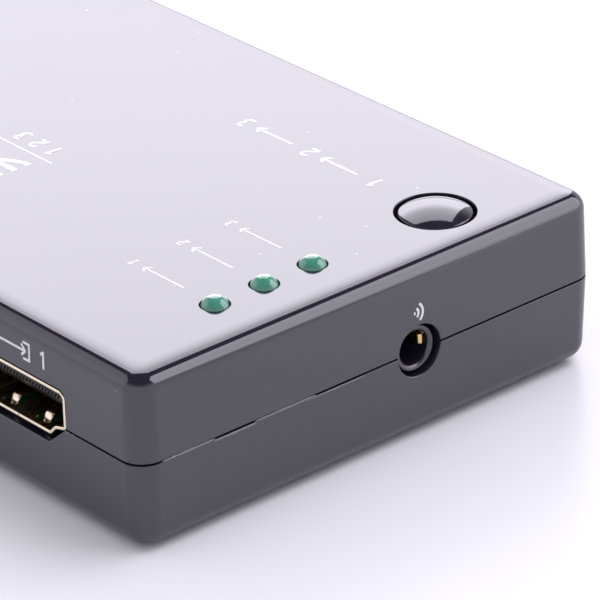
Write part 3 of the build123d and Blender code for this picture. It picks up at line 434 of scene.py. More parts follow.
def noise(tree, where, scale, detail):
    """A noise of so many waves per metre."""
    return add_node(tree, "ShaderNodeTexNoise", {"Vector": where, "Scale": scale, "Detail": detail}).outputs[0]


def sum_up(tree, operation, first, second):
    """The result of a sum on two sockets or values."""
    return add_node(tree, "ShaderNodeMath", {0: first, 1: second}, operation=operation).outputs[0]


def ranged(tree, value, low, high, **ends):
    """A value spread from one range to another, 0 to 1 if no ends are given."""
    named = {label.replace("_", " "): end for label, end in ends.items()}
    return add_node(tree, "ShaderNodeMapRange", {"Value": value, "From Min": low, "From Max": high, **named}).outputs[0]


def new_group(name, inputs, output):
    """A shader node group with named numbers as inputs and one output."""
    tree = bpy.data.node_groups.new(name, "ShaderNodeTree")
    for label, value in inputs.items():
        socket = tree.interface.new_socket(label, in_out="INPUT", socket_type="NodeSocketFloat")
        socket.default_value = value
    tree.interface.new_socket(output, in_out="OUTPUT", socket_type="NodeSocketFloat")
    return tree, tree.nodes.new("NodeGroupInput").outputs, tree.nodes.new("NodeGroupOutput").inputs


def ripple_group():
    """Height of moulded plastic: slow flow waves under a fine skin grain."""
    tree, given, out = new_group(
        "Moulded ripple", {"Waves per metre": 70.0, "Grain per metre": 5200.0, "Grain share": 0.12}, "Height")
    where = object_place(tree)
    waves, grain = noise(tree, where, given[0], 2.0), noise(tree, where, given[1], 1.0)
    height = add_node(tree, "ShaderNodeMix", {"Factor": given[2], "A": waves, "B": grain})
    tree.links.new(height.outputs[0], out[0])
    return tree


def dust_group():
    """Mask of small specks of dust: spots round the cells of a fine Voronoi pattern, kept where
    a random number of the cell is low."""
    tree, given, out = new_group(
        "Dust specks", {"Specks per metre": 420.0, "Speck size": 0.07, "Cover": 0.5}, "Mask")
    cells = add_node(tree, "ShaderNodeTexVoronoi", {"Vector": object_place(tree), "Scale": given[0]})
    chance = add_node(tree, "ShaderNodeTexWhiteNoise", {"Vector": cells.outputs["Position"]})
    spot = sum_up(tree, "LESS_THAN", cells.outputs["Distance"], given[1])
    kept = sum_up(tree, "LESS_THAN", chance.outputs["Value"], given[2])
    tree.links.new(sum_up(tree, "MULTIPLY", spot, kept), out[0])
    return tree


def wear_group():
    """Mask of handling: a slow cloud of smears crossed by thin scratches."""
    tree, given, out = new_group(
        "Handling wear", {"Smears per metre": 45.0, "Scratches per metre": 900.0, "Scratch share": 0.25}, "Mask")
    where = object_place(tree)
    smears = noise(tree, where, given[0], 4.0)
    stretched = add_node(tree, "ShaderNodeMapping", {
        "Vector": where, "Rotation": (0.0, 0.0, 0.6), "Scale": (0.06, 1.0, 1.0)}).outputs[0]
    thin = ranged(tree, noise(tree, stretched, given[1], 1.0), 0.68, 0.8)
    scratches = sum_up(tree, "MULTIPLY", thin, given[2])
    tree.links.new(sum_up(tree, "ADD", smears, scratches), out[0])
    return tree


GROUPS = {}


def group(tree, make, **values):
    """The output of a shared group, placed in a material with the material's own values."""
    if make.__name__ not in GROUPS:
        GROUPS[make.__name__] = make()
    node = tree.nodes.new("ShaderNodeGroup")
    node.node_tree = GROUPS[make.__name__]
    for label, value in values.items():
        node.inputs[label.replace("_", " ")].default_value = value
    return node.outputs[0]


DUST = (0.42, 0.41, 0.4, 1.0)


def dress(tree, shader, base, rough, height, bump, wear, wear_gain, dust=None):
    """Joins a finish: base colour under dust, roughness raised by wear, and a bump whose full
    height in metres is bump."""
    set_inputs(shader, Base_Color=colour(base), Roughness=rough)
    if dust is not None:
        mixed_base(tree, shader, dust, colour(base), DUST)
    worn = ranged(tree, wear, 0.35, 0.9, To_Min=rough, To_Max=rough + wear_gain)
    tree.links.new(worn, shader.inputs["Roughness"])
    bumped = add_node(tree, "ShaderNodeBump", {"Height": height, "Strength": 1.0, "Distance": bump})
    tree.links.new(bumped.outputs[0], shader.inputs["Normal"])


def gloss_black(name, base, rough, bump=1.2e-6):
    """Glossy moulded plastic: faint flow waves, smears that dull it and a few specks of dust."""
    made, tree, shader = node_tree(name)
    dust = group(tree, dust_group, Speck_size=0.05, Cover=0.25)
    dress(tree, shader, base, rough, group(tree, ripple_group), bump, group(tree, wear_group), 0.05, dust)
    set_inputs(shader, IOR=1.8)
    return made


def dull_black(name, base, rough, bump=6e-6, grain=2600.0):
    """Moulded connector plastic, chip compound or rubber: a fine even grain."""
    made, tree, shader = node_tree(name)
    height = group(tree, ripple_group, Grain_per_metre=grain, Grain_share=0.8)
    wear = group(tree, wear_group, Smears_per_metre=160.0)
    dust = group(tree, dust_group, Speck_size=0.05, Cover=0.25)
    dress(tree, shader, base, rough, height, bump, wear, 0.12, dust)
    return made


def plated(name, base, rough, tarnish, bump=1.5e-6):
    """Thin plate on sheet metal: rolling lines, and colour that darkens in slow patches."""
    made, tree, shader = node_tree(name)
    wear = group(tree, wear_group, Smears_per_metre=260.0, Scratches_per_metre=2400.0, Scratch_share=0.5)
    height = group(tree, ripple_group, Waves_per_metre=420.0, Grain_share=0.3)
    dress(tree, shader, base, rough, height, bump, wear, 0.16)
    mixed_base(tree, shader, ranged(tree, wear, 0.3, 0.85), colour(base), colour(tarnish))
    set_inputs(shader, Metallic=1.0)
    return made


def lens_green(name, base):
    """Clear green resin with a little haze, lit through by what is round it."""
    made, tree, shader = node_tree(name)
    mixed_base(tree, shader, noise(tree, object_place(tree), 900.0, 2.0), colour(base, 0.88), colour(base, 1.12))
    set_inputs(
        shader, Roughness=0.04, IOR=1.5, Transmission_Weight=0.15, Subsurface_Weight=1.0,
        Subsurface_Radius=(0.4, 1.0, 0.7), Subsurface_Scale=0.003, Coat_Weight=1.0, Coat_Roughness=0.03)
    return made


def solder_mask(name, base):
    """Green lacquer over copper tracks: pale lanes between the bricks of a brick pattern."""
    made, tree, shader = node_tree(name)
    lanes = add_node(tree, "ShaderNodeTexBrick", {
        "Vector": object_place(tree), "Scale": 160.0, "Mortar Size": 0.03,
        "Color1": colour(base), "Color2": colour(base, 0.9), "Mortar": colour(base, 1.6),
    })
    tree.links.new(lanes.outputs["Color"], shader.inputs["Base Color"])
    height = add_node(tree, "ShaderNodeBump", {"Height": lanes.outputs["Fac"], "Distance": 2e-5})
    tree.links.new(height.outputs[0], shader.inputs["Normal"])
    set_inputs(shader, Roughness=0.3)
    return made


def printed_ink(name, base):
    """Pad-printed ink: nearly even, with tiny thin spots."""
    made, tree, shader = node_tree(name)
    wear = group(tree, wear_group, Smears_per_metre=1500.0, Scratch_share=0.0)
    mixed_base(tree, shader, ranged(tree, wear, 0.3, 0.6), colour(base, 0.86), colour(base))
    set_inputs(shader, Roughness=0.45)
    return made


MATERIALS = {}


def finish_of(slot):
    """The material of one of the record's slots, or of a finish of the scene's own, built once."""
    if slot in MATERIALS:
        return MATERIALS[slot]
    scene = bpy.context.scene
    case, port, light = scene.switch_case, scene.switch_port, scene.switch_light
    makers = {
        "case": (gloss_black, "Housing plastic", case.plastic, 0.06),
        # The flash's pale grey base colour is a painted highlight: it stands in for the light that the beads of flash
        # catch along the parting line.
        "flash": (dull_black, "Strained plastic", (0.17, 0.167, 0.178), 0.4, 2e-6),
        "button": (gloss_black, "Button plastic", case.plastic, 0.05),
        "feet": (dull_black, "Foot rubber", (0.035, 0.035, 0.037), 0.75, 1.5e-5),
        "board": (solder_mask, "Solder mask", (0.02, 0.12, 0.05)),
        "connector_plastic": (dull_black, "Connector plastic", port.plastic, 0.35),
        "jack": (gloss_black, "Jack plastic", case.plastic, 0.2, 3e-6),
        "port_shell": (plated, "Receptacle plate", port.plating, 0.11, colour(port.plating, 0.8)),
        "contact_metal": (plated, "Contact gold", (0.9, 0.66, 0.33), 0.25, (0.75, 0.5, 0.22)),
        "tin": (plated, "Tinned metal", (0.72, 0.72, 0.7), 0.32, (0.5, 0.5, 0.49)),
        "steel": (plated, "Nickel on steel", (0.58, 0.57, 0.55), 0.28, (0.4, 0.39, 0.37)),
        "led_plastic": (lens_green, "Lens resin", light.resin),
        "chip": (dull_black, "Chip compound", (0.03, 0.03, 0.032), 0.5, 8e-6, 4200.0),
        "can": (plated, "Drawn aluminium", (0.76, 0.76, 0.77), 0.3, (0.6, 0.6, 0.61)),
        "capacitor_ceramic": (dull_black, "Fired ceramic", (0.42, 0.3, 0.18), 0.45, 5e-6),
        "ink": (printed_ink, "White ink", case.ink),
    }
    make, *values = makers[slot]
    MATERIALS[slot] = make(*values)
    return MATERIALS[slot]


# ---- properties ----

def tint(name, description, default):
    """A colour that a user may change."""
    return FloatVectorProperty(
        name=name, description=description, subtype="COLOR", size=3, min=0, max=1, default=default)


def distance(name, description, default):
    """A distance in metres that a user may change."""
    return FloatProperty(name=name, description=description, unit="LENGTH", default=default)


def strength(name, description, default):
    """A strength of light that a user may change."""
    return FloatProperty(name=name, description=description, min=0, default=default)


class SwitchCase(bpy.types.PropertyGroup):
    """The two shells, the button and what is printed on them."""

    plastic: tint("Plastic", "Colour of the shells and the button", (0.015, 0.0125, 0.025))
    ink: tint("Ink", "Colour of the printed signs", (0.82, 0.82, 0.84))
    edge: distance("Edge rounding", "Radius where an opening meets the surface", 0.00012)
    ink_height: distance("Ink height", "How far the printed signs stand proud", 0.000012)


class SwitchPort(bpy.types.PropertyGroup):
    """The four receptacles."""

    plating: tint("Plating", "Colour of the receptacles' metal shells", (1.0, 0.87, 0.67))
    plastic: tint("Inner plastic", "Colour of the receptacles' cores", (0.008, 0.008, 0.009))
    rim: distance("Rim rounding", "Radius on the front edge of the metal shells", 0.00012)


class SwitchLight(bpy.types.PropertyGroup):
    """The three lights."""

    resin: tint("Resin", "Colour of the lenses", (0.09, 0.33, 0.235))


class SwitchStage(bpy.types.PropertyGroup):
    """Floor, lamps and camera."""

    floor: tint("Floor", "Colour of the floor", (0.88, 0.88, 0.89))
    sky: strength("Sky", "Strength of the even light on dull surfaces", 0.85)
    horizon: strength("Horizon", "Strength of the even light that glossy surfaces show near the horizon", 1.0)
    zenith: strength("Zenith", "Strength of the even light that glossy surfaces show overhead", 0.1)
    back_lamp: strength("Back lamp", "Radiance of the lamp that the top reflects", 4.3)
    left_lamp: strength("Left lamp", "Radiance of the lamp beside the receiver jack", 3.2)
    right_lamp: strength("Right lamp", "Radiance of the wide lamp beside the inputs", 0.9)
    key_lamp: strength("Key lamp", "Radiance of the high lamp that lights dull surfaces", 2.6)
    lens: FloatProperty(
        name="Focal length", description="Focal length of the camera in millimetres", min=1, default=277.04)


# ---- operators ----

class SWITCHBOX_OT_upper_shell(bpy.types.Operator):
    """Upper shell: its wall section carried round the case, then posts, collar and openings"""

    bl_idname = "switchbox.upper_shell"
    bl_label = "Upper shell"

    def execute(self, context):
        lip = context.scene.switch_case.edge / MM
        lean, seam, base, roof = UPPER_LEAN, SEAM_ROUND, PARTING_Z, TOP_Z - ROOF
        post, pilot, pilot_top = 2.8, 1.35, 14.4
        collar_out, collar_in, button_hole, lens_hole = 5.7, 4.9, 4.2, 1.56
        draft = math.degrees(math.atan(lean))
        rebate = base + 1.3
        section = np.vstack([
            [(-WALL - (roof - base) * lean, roof), (-WALL - 1.3 * lean, rebate), (-1.1, rebate),
             (-1.1, base), (-0.6, base), (-0.6, base + SHADOW_GAP)],
            arc((-seam, base + SHADOW_GAP + seam), seam, -90, 0, 4),
            rolled_edge(TOP_Z, (base - TOP_Z) * lean, [(1.85, draft, 82), (7.0, 82, 87), (14.0, 87, 90)]),
        ])
        shell = put_mesh("top_shell", [closed(carry_box(2 * HALF_X, 2 * HALF_Y, CORNER, section))])
        combine(shell, posts(drum(post, BOARD_TOP_Z, roof + 1), POSTS), "UNION")
        button = [middle("select_button")[:2]]
        collar = [(collar_out, roof - 3), (collar_out, roof + 1), (collar_in, roof + 1), (collar_in, roof - 3)]
        combine(shell, posts(collar, button, 48, loop=True), "UNION")
        bore = np.vstack([
            [(collar_in, roof - 5), (collar_in, roof), (button_hole, roof)],
            flare(lip) + (button_hole, TOP_Z),
        ])
        hole = np.vstack([[(lens_hole, roof - 1)], flare(0.05) + (lens_hole, TOP_Z)])
        cutters = posts(drum(pilot, BOARD_TOP_Z - 1, pilot_top), POSTS) + posts(bore, button, 96)
        cutters += posts(hole, [middle(node)[:2] for node in LENSES], 64)
        combine(shell, cutters, "DIFFERENCE")
        combine(shell, side_openings(True, lip), "DIFFERENCE")
        finish_piece(shell, "case", finish_of("case"), ["upper_shell"])
        return {"FINISHED"}


class SWITCHBOX_OT_lower_shell(bpy.types.Operator):
    """Lower shell: its wall section carried round the case, then posts, recesses and openings"""

    bl_idname = "switchbox.lower_shell"
    bl_label = "Lower shell"

    # Beads of flash along the end wall: first and last y, radius, and height over the parting line
    BEADS = ((27.3, 20.6, 0.13, 0.11), (21.0, 15.4, 0.13, -0.11), (15.8, 7.8, 0.13, 0.11), (9.5, 1.5, 0.09, -0.07))
    SPECKS = (-34.35, -35.05)

    def flash(self):
        """Flash of the mould that stands out of the parting line, thick and thin by turns: along
        a bead the radius goes with the sine of a half turn to the power 0.3, and a ripple of an
        eighth of it runs along."""
        share = np.linspace(0, 1, 25)
        swell = np.sin(np.pi * share) ** 0.3 * (0.88 + 0.12 * np.sin(17 * share))
        solids = []
        for first, last, radius, rise in self.BEADS:
            bead = turned(np.column_stack([swell * radius, share * (first - last)]), 10)
            place = (-HALF_X - 0.01, first, PARTING_Z + rise)
            solids.append(placed(bead, place, (0, 0, 1), (1, 0, 0), (0, -1, 0)))
        speck = turned([(0.02, 0.0), (0.09, 0.1), (0.1, 0.25), (0.02, 0.4)], 10)
        for x in self.SPECKS:
            solids.append(placed(speck, (x, HALF_Y - 0.01, PARTING_Z - 0.04), (0, 1, 0), (0, 0, 1), (1, 0, 0)))
        # The beads and specks of flash get a pale grey finish, a painted highlight along the parting line.
        finish_piece(put_mesh("mould_flash", solids), "case", finish_of("flash"), [], 60)

    def execute(self, context):
        lip = context.scene.switch_case.edge / MM
        lean, seam, base, floor = LOWER_LEAN, SEAM_ROUND, PARTING_Z, UNDER_Z + FLOOR
        heel, post, rest, recess, screw, head, seat = 2.0, 3.5, 2.0, 4.2, 1.5, 2.7, UNDER_Z + 3.0
        start = UNDER_Z + heel
        out = -(base - start) * lean - heel / math.cos(math.atan(lean))
        section = np.vstack([
            arc((out, start), heel, -90, -math.degrees(math.atan(lean)), 15),
            arc((-seam, base - seam), seam, 0, 90, 4),
            [(-1.2, base), (-1.2, base + 1.2), (-2.0, base + 1.2), (-2.0, base),
             (-WALL - (base - floor) * lean, floor)],
        ])
        shell = put_mesh("base_shell", [closed(carry_box(2 * HALF_X, 2 * HALF_Y, CORNER, section))])
        rests = posts(drum(rest, floor - 1, BOARD_UNDER_Z), [(-18, 0), (18, 0)])
        combine(shell, posts(drum(post, floor - 1, BOARD_UNDER_Z), POSTS) + rests, "UNION")
        hole = np.vstack([
            flare(lip)[::-1] * (1, -1) + (recess, UNDER_Z),
            [(recess, 1.2), (head, 1.2), (head, seat), (screw, seat), (screw, BOARD_TOP_Z)],
        ])
        label = bar(40, 25, 1.0, -1.0, UNDER_Z + 0.3, 9)
        combine(shell, posts(hole, POSTS, 64) + [label], "DIFFERENCE")
        combine(shell, side_openings(False, lip), "DIFFERENCE")
        finish_piece(shell, "case", finish_of("case"), ["lower_shell"])
        self.flash()
        return {"FINISHED"}


class SWITCHBOX_OT_feet(bpy.types.Operator):
    """Rubber feet: turned discs with a rounded rim and a shallow dish"""

    bl_idname = "switchbox.feet"
    bl_label = "Feet"

    def execute(self, context):
        rim = arc((FOOT_RADIUS - 0.25, 0.25), 0.25, -90, 0, 6)
        profile = np.vstack([
            [(0.0, 0.12), (2.6, 0.08), (3.0, 0.0)], rim, [(FOOT_RADIUS, 1.2), (0.0, 1.2)]])
        feet = put_mesh("foot_pads", posts(profile, POSTS, 48), 0.001)
        finish_piece(feet, "case", finish_of("feet"), ["rubber_feet"])
        return {"FINISHED"}


class SWITCHBOX_OT_receptacles(bpy.types.Operator):
    """Receptacles: bent metal sleeve with spring tabs and legs, core with its tongue, contacts"""

    bl_idname = "switchbox.receptacles"
    bl_label = "Receptacles"

    FRONT, BACK, METAL = -0.1, -11.6, 0.35
    TAB_SIDES = (-2.6, 2.6)
    # Depth and height along the middle of a spring tab under the plug, and of one over it
    LOWER_TAB = ((-6.9, -1.225), (-6.5, -1.225), (-5.2, -1.2), (-3.4, -0.86), (-2.3, -0.68), (-1.95, -0.82),
                 (-1.74, -1.25), (-1.54, -1.68), (-1.4, -1.85))
    UPPER_TAB = ((-6.9, 3.725), (-6.5, 3.725), (-5.2, 3.7), (-3.8, 3.36), (-3.1, 3.25), (-2.4, 3.36), (-1.6, 3.6))
    # Sideways places of the ten contacts over the tongue. The nine under it stand between them.
    STEPS = (np.arange(10) - 4.5) * 1.0

    def sleeve(self, node, rim):
        """Metal shell: the sheet's section carried round the stepped outline, with a window over
        each tab and a seam on top."""
        origin, outward = port_place(node)
        section = np.vstack([
            [(0.0, self.BACK)],
            arc((-rim, self.FRONT - rim), rim, 0, 90, 5),
            arc((-self.METAL + rim, self.FRONT - rim), rim, 90, 180, 5),
            [(-self.METAL, self.BACK)],
        ])
        sleeve = put_mesh(node + "_sleeve", [
            on_side(closed(carry(port_outline(), section), loop=True), origin, outward)])
        window = bar(2.0, 5.6, 0.15, -3.0, 6.0, 5)
        tools = [placed(window, port_point(node, side, 3.7)) for side in self.TAB_SIDES]
        seam = np.array([(0, 0.3), (0, -2.2), (0.45, -2.8), (0.45, -4.2), (0, -4.8), (0, -12.5)])
        slit = np.vstack([seam - (0.05, 0.0), (seam + (0.05, 0.0))[::-1]])
        cut = closed(carry((slit, slit * 0), [(0.0, -2.0), (0.0, -0.9)]))
        tools.append(placed(cut, origin, -np.cross((0, 0, 1), outward), outward, (0, 0, 1)))
        combine(sleeve, tools, "DIFFERENCE")
        finish_piece(sleeve, "case", finish_of("port_shell"), [node + "_shell"], 40)

    def springs(self, node):
        """Four spring tabs that bend into the mouth, and four legs through the board."""
        solids = []
        for path in (spline(self.LOWER_TAB), spline(self.UPPER_TAB)):
            widths = np.interp(path[:, 0], [-6.5, -3.4, -1.9, -1.6], [1.4, 1.3, 1.15, 0.95])
            tab = strip(path, 0.25, widths)
            solids += [on_side(stood_up(tab, side), *port_place(node)) for side in self.TAB_SIDES]
        foot = BOARD_UNDER_Z - 1.1 - PARTING_Z
        leg = closed(carry(rectangle(0.35, 1.8, 0.1, 3), [(-0.12, foot), (0.0, foot + 0.5), (0.0, 0.6)]))
        solids += [placed(leg, port_point(node, side, depth)) for side in (-7.325, 7.325) for depth in (3.6, 9.6)]
        springs = put_mesh(node + "_springs", solids)
        finish_piece(springs, "case", finish_of("port_shell"), [], 50)

    def core(self, node):
        """Plastic core: block behind the mouth, flange, and the tongue with its comb of ribs."""
        origin, outward = port_place(node)
        foot = BOARD_TOP_Z - PARTING_Z
        block = closed(carry(port_outline(-0.4), [(0.0, -11.7), (0.0, -8.75), (-0.05, -8.7)]))
        flange = moved(bar(14.0, 3.0 - foot, 0.3, -12.8, self.BACK, 9), y=(3.0 + foot) / 2)
        profile = [(-8.9, 0.9), (-2.1, 0.9), (-1.3, 1.97), (-1.3, 2.06), (-1.55, 2.5), (-8.9, 2.5)]
        nose = rounded_outline(profile, [0.0, 0.1, 0.05, 0.05, 0.06, 0.0], 4)
        tongue = closed(carry(nose, [(-0.1, -5.6), (0.0, -5.5), (0.0, 5.5), (-0.1, 5.6)]))
        core = put_mesh(node + "_insert", [
            on_side(block, origin, outward),
            on_side(flange, origin, outward),
            placed(tongue, origin, outward, (0, 0, 1), -np.cross((0, 0, 1), outward)),
        ])
        tools = []
        for cutter, sides, depth in (
            (bar(0.5, 7.2, 0.05, 2.38, 3.0), self.STEPS, 5.25),
            (bar(0.5, 7.4, 0.05, 0.4, 1.02), self.STEPS[:-1] + 0.5, 5.1),
            (bar(0.24, 0.5, 0.02, 2.02, 3.0), (np.arange(21) - 10) * 0.5, 1.22),
        ):
            tools += [placed(cutter, port_point(node, side, depth)) for side in sides]
        combine(core, tools, "DIFFERENCE")
        finish_piece(core, "case", finish_of("connector_plastic"), [node + "_core"])

    def contacts(self, node):
        """Nineteen contacts: thin strips in the tongue's slots, bent down behind the flange."""
        foot = BOARD_TOP_Z - PARTING_Z + 0.06
        solids = []
        for sides, height, nose, tip in (
            (self.STEPS, 2.44, (-1.72, 2.3), (-1.86, 2.46)),
            (self.STEPS[:-1] + 0.5, 0.96, (-2.0, 1.2), (-2.2, 0.98)),
        ):
            path = [nose, tip, (tip[0] - 0.3, height), (-12.8, height),
                    (-13.07, height - 0.12), (-13.07, foot + 0.1), (-13.2, foot), (-13.9, foot)]
            contact = strip(path[::-1], 0.12, 0.36, 0.15)
            solids += [on_side(stood_up(contact, side), *port_place(node)) for side in sides]
        contacts = put_mesh(node + "_pins", solids)
        finish_piece(contacts, "case", finish_of("contact_metal"), [node + "_contacts"], 40)

    def execute(self, context):
        for node in PORTS:
            self.sleeve(node, context.scene.switch_port.rim / MM)
            self.springs(node)
            self.core(node)
            self.contacts(node)
        return {"FINISHED"}


class SWITCHBOX_OT_jacks(bpy.types.Operator):
    """Jack of the remote receiver and power inlet: turned noses on moulded blocks, with bores"""

    bl_idname = "switchbox.jacks"
    bl_label = "Jacks"

    def moulded(self, name, node, place, nose, block, rounds):
        """Body of a jack: a turned nose joined to a block, less rounds of cutters."""
        body = put_mesh(name, [on_side(turned(nose, 64), *place)], 0.0005)
        combine(body, [on_side(block, *place)], "UNION")
        for cutters in rounds:
            combine(body, [on_side(cutter, *place) for cutter in cutters], "DIFFERENCE")
        finish_piece(body, "case", finish_of("jack"), [node])

    def receiver(self):
        """Jack of the remote receiver, and the bent lip of its sleeve contact, which shows in
        the mouth."""
        place = (-HALF_X, middle("ir_jack_body")[1], PARTING_Z), (-1, 0, 0)
        nose = np.vstack([[(0.0, -3.5), (2.5, -3.5)], arc((2.3, -0.9), 0.2, 0, 90, 6), [(0.0, -0.7)]])
        block = closed(carry(
            rectangle(6.0, 5.0, 0.15, 4), [(-0.1, -14.2), (0.0, -14.1), (0.0, -2.8), (-0.1, -2.7)]))
        bore = [(0.0, -13.4), (1.8, -13.4), (1.8, -1.1), (1.84, -0.96), (1.95, -0.82), (2.12, -0.73),
                (2.4, -0.66), (2.4, 1.0), (0.0, 1.0)]
        blade = bar(3.0, 1.12, 0.05, -11.46, -5.34)
        slots = [
            moved(bar(2.1, 1.16, 0.03, -4.63, -1.27), 1.05),
            moved(bar(6.0, 0.36, 0.03, -4.63, -3.17), 3.0, 0.4),
            moved(blade, -3.0),
            moved(blade, 3.0),
        ]
        self.moulded("receiver_jack", "ir_jack_body", place, nose, block, ([turned(bore, 64)], slots))
        path = spline([
            (-3.1, 1.86), (-2.7, 1.84), (-2.3, 1.66), (-2.08, 1.42), (-1.88, 1.62), (-1.66, 1.92), (-1.4, 2.04)])
        points, faces = strip(path, 0.12, 1.06)
        lip = put_mesh("receiver_lip", [on_side((points[:, [2, 0, 1]], faces), *place)])
        finish_piece(lip, "case", finish_of("contact_metal"), [], 50)

    def inlet(self):
        """Power inlet, open at the back for its pin and at one side for its spring."""
        place = (middle("dc_jack_pin")[0], -HALF_Y, DC_AXIS_Z), (0, -1, 0)
        nose = np.vstack([[(0.0, -3.5), (3.0, -3.5)], arc((2.88, -0.42), 0.12, 0, 90, 4), [(0.0, -0.3)]])
        block = closed(carry(
            rectangle(6.4, 6.4, 0.2, 4), [(-0.1, -11.6), (0.0, -11.5), (0.0, -2.7), (-0.1, -2.6)]))
        bore = [(0.0, -8.3), (1.95, -8.3), (1.95, -0.5), (2.15, -0.3), (2.35, -0.1), (2.35, 1.0), (0.0, 1.0)]
        cutters = [
            turned(bore, 64),
            moved(bar(3.2, 1.92, 0.05, -9.06, -4.94), 1.6),
            bar(1.06, 1.06, 0.02, -12.0, -8.0),
        ]
        self.moulded("power_inlet", "dc_jack_body", place, nose, block, (cutters,))

    def execute(self, context):
        self.receiver()
        self.inlet()
        return {"FINISHED"}


class SWITCHBOX_OT_lights(bpy.types.Operator):
    """Lights: turned lenses with a domed tip, a flange and a hollow for the leads"""

    bl_idname = "switchbox.lights"
    bl_label = "Lights"

    def execute(self, context):
        radius, flange, lead = 1.5, 1.9, 1.27
        for number, node in enumerate(LENSES, start=1):
            x, y = middle(node)[:2]
            base, tip = span(node)[0][2], span(node)[1][2]
            dome = arc((0.0, tip - radius), radius, 0, 90, 15)
            dome[-1, 0] = 0.0
            profile = np.vstack([
                [(0.0, base), (flange - 0.1, base), (flange, base + 0.1), (flange, base + 0.9),
                 (flange - 0.1, base + 1.0), (radius, base + 1.0)],
                dome,
            ])
            lens = put_mesh(f"light_{number}", posts(profile, [(x, y)], 48), 0.0005)
            hollow = bar(0.58, 0.58, 0.05, base - 1.0, base + 2.0)
            combine(lens, [moved(hollow, x - lead, y), moved(hollow, x + lead, y)], "DIFFERENCE")
            finish_piece(lens, "case", finish_of("led_plastic"), [node], 45)
        return {"FINISHED"}


class SWITCHBOX_OT_button(bpy.types.Operator):
    """Select button: a dome, rounded rim, flange and stem turned about one axis"""

    bl_idname = "switchbox.button"
    bl_label = "Select button"

    def execute(self, context):
        low, tip = span("select_button")[0][2], span("select_button")[1][2]
        radius, edge, rim = 3.8, 0.2, TOP_Z - 0.1
        # sphere through the tip and the rim, then the small arc that rounds the rim inside it
        dome = (radius**2 + (tip - rim) ** 2) / (2 * (tip - rim))
        centre = tip - dome
        turn = math.asin((radius - edge) / (dome - edge))
        corner = (radius - edge, centre + (dome - edge) * math.cos(turn))
        first = math.degrees(math.pi / 2 - turn)
        cap = arc((0.0, centre), dome, first, 90, 24)
        cap[-1, 0] = 0.0
        profile = np.vstack([
            [(0.0, low), (1.9, low), (2.0, low + 0.1), (2.0, 16.2), (4.6, 16.2), (4.7, 16.3), (4.7, 16.9),
             (4.6, 17.0), (radius, 17.0)],
            arc(corner, edge, 0, first, 6)[:-1],
            cap,
        ])
        button = put_mesh("select_cap", posts(profile, [middle("select_button")[:2]], 96), 0.0005)
        finish_piece(button, "button", finish_of("button"), ["select_button"])
        return {"FINISHED"}


# ---- signs: strokes in a unit height ----

def line(*points):
    """Straight runs of a stroke."""
    return np.array(points, float)


NUMERALS = {
    "1": [line((0.36, 0.0), (0.36, 1.0)), line((0.38, 0.95), (0.12, 0.76))],
    "2": [np.vstack([arc((0.3, 0.7), 0.24, 165, -38, 12), line((0.07, 0.1))]), line((0.02, 0.06), (0.57, 0.06))],
    "3": [arc((0.27, 0.735), 0.205, 140, -90, 12), arc((0.27, 0.295), 0.235, 90, -145, 12)],
}


def arrow(length, head=0.42):
    """Strokes of an arrow along x."""
    return [line((0.0, 0.5), (length, 0.5)), line((length - head, 0.5 + head), (length + 0.03, 0.48)),
            line((length - head, 0.5 - head), (length + 0.03, 0.52))]


def socket_sign(length, leaving=False):
    """Strokes of an arrow that enters a box open to the left, or leaves it."""
    if leaving:
        box = [line((0.62, 1.0), (0.0, 1.0)), line((0.06, 1.06), (0.06, -0.06)), line((0.0, 0.0), (0.62, 0.0))]
        return box + [path + (0.35, 0.0) for path in arrow(length + 0.27, 0.34)]
    box = [line((length, 1.0), (length + 0.62, 1.0)), line((length + 0.56, 1.06), (length + 0.56, -0.06)),
           line((length, 0.0), (length + 0.62, 0.0))]
    return box + arrow(length + 0.2, 0.34)


def beam_sign():
    """Strokes of a remote control's beam: a dot and two bows."""
    return [arc((0.0, 0.5), radius, -50, 50, 10) for radius in (0.34, 0.66)] + [line((0.0, 0.5), (0.13, 0.5))]


def join_sign():
    """Strokes of three lines that meet in one arrow. The outer two close in by half a turn of
    the cosine."""
    ease = np.linspace(0, 1, 12)
    bend = 0.42 * (0.5 + 0.5 * np.cos(np.pi * ease))
    paths = [np.stack([0.1 + 1.1 * ease, 0.5 + side * bend], axis=1) for side in (-1, 1)]
    return paths + [line((0.1, 0.5), (2.5, 0.5)), line((2.22, 0.78), (2.53, 0.48)), line((2.22, 0.22), (2.53, 0.52))]


def polarity_sign():
    """Strokes of a barrel plug's poles: minus, ring and dot, plus."""
    return [line((0.0, 0.5), (0.55, 0.5)), arc((1.15, 0.5), 0.38, 40, 320, 12), line((1.05, 0.5), (1.25, 0.5)),
            line((1.2, 0.5), (2.35, 0.5)), line((2.07, 0.22), (2.07, 0.78))]


def ribbon(path, width):
    """A flat stroke of unit thickness: the path moved to both sides along its normals by half
    the width, as one closed outline."""
    p = np.asarray(path, float)
    along = np.gradient(p, axis=0)
    along /= np.linalg.norm(along, axis=1, keepdims=True)
    aside = np.stack([-along[:, 1], along[:, 0]], axis=1) * width / 2
    outline = np.vstack([p - aside, (p + aside)[::-1]])
    return closed(carry((outline, outline * 0), [(0.0, 0.0), (0.0, 1.0)]))


def signs_of(strokes, height, width, at, slant=0.0):
    """Strokes scaled to a height, leaned over and moved to their place."""
    made = []
    for path in strokes:
        x, y = np.asarray(path, float).T * height
        made.append(ribbon(np.stack([x + slant * y + at[0], y + at[1]], axis=1), width))
    return made


def printed(solid, origin, right, up, height):
    """A sign laid on a surface: its thickness becomes the ink's height, and it reaches a little
    under the surface."""
    points, faces = solid
    points = points * (1, 1, height + 0.01) - (0, 0, 0.01)
    return placed((points, faces), origin, right, up, np.cross(right, up))


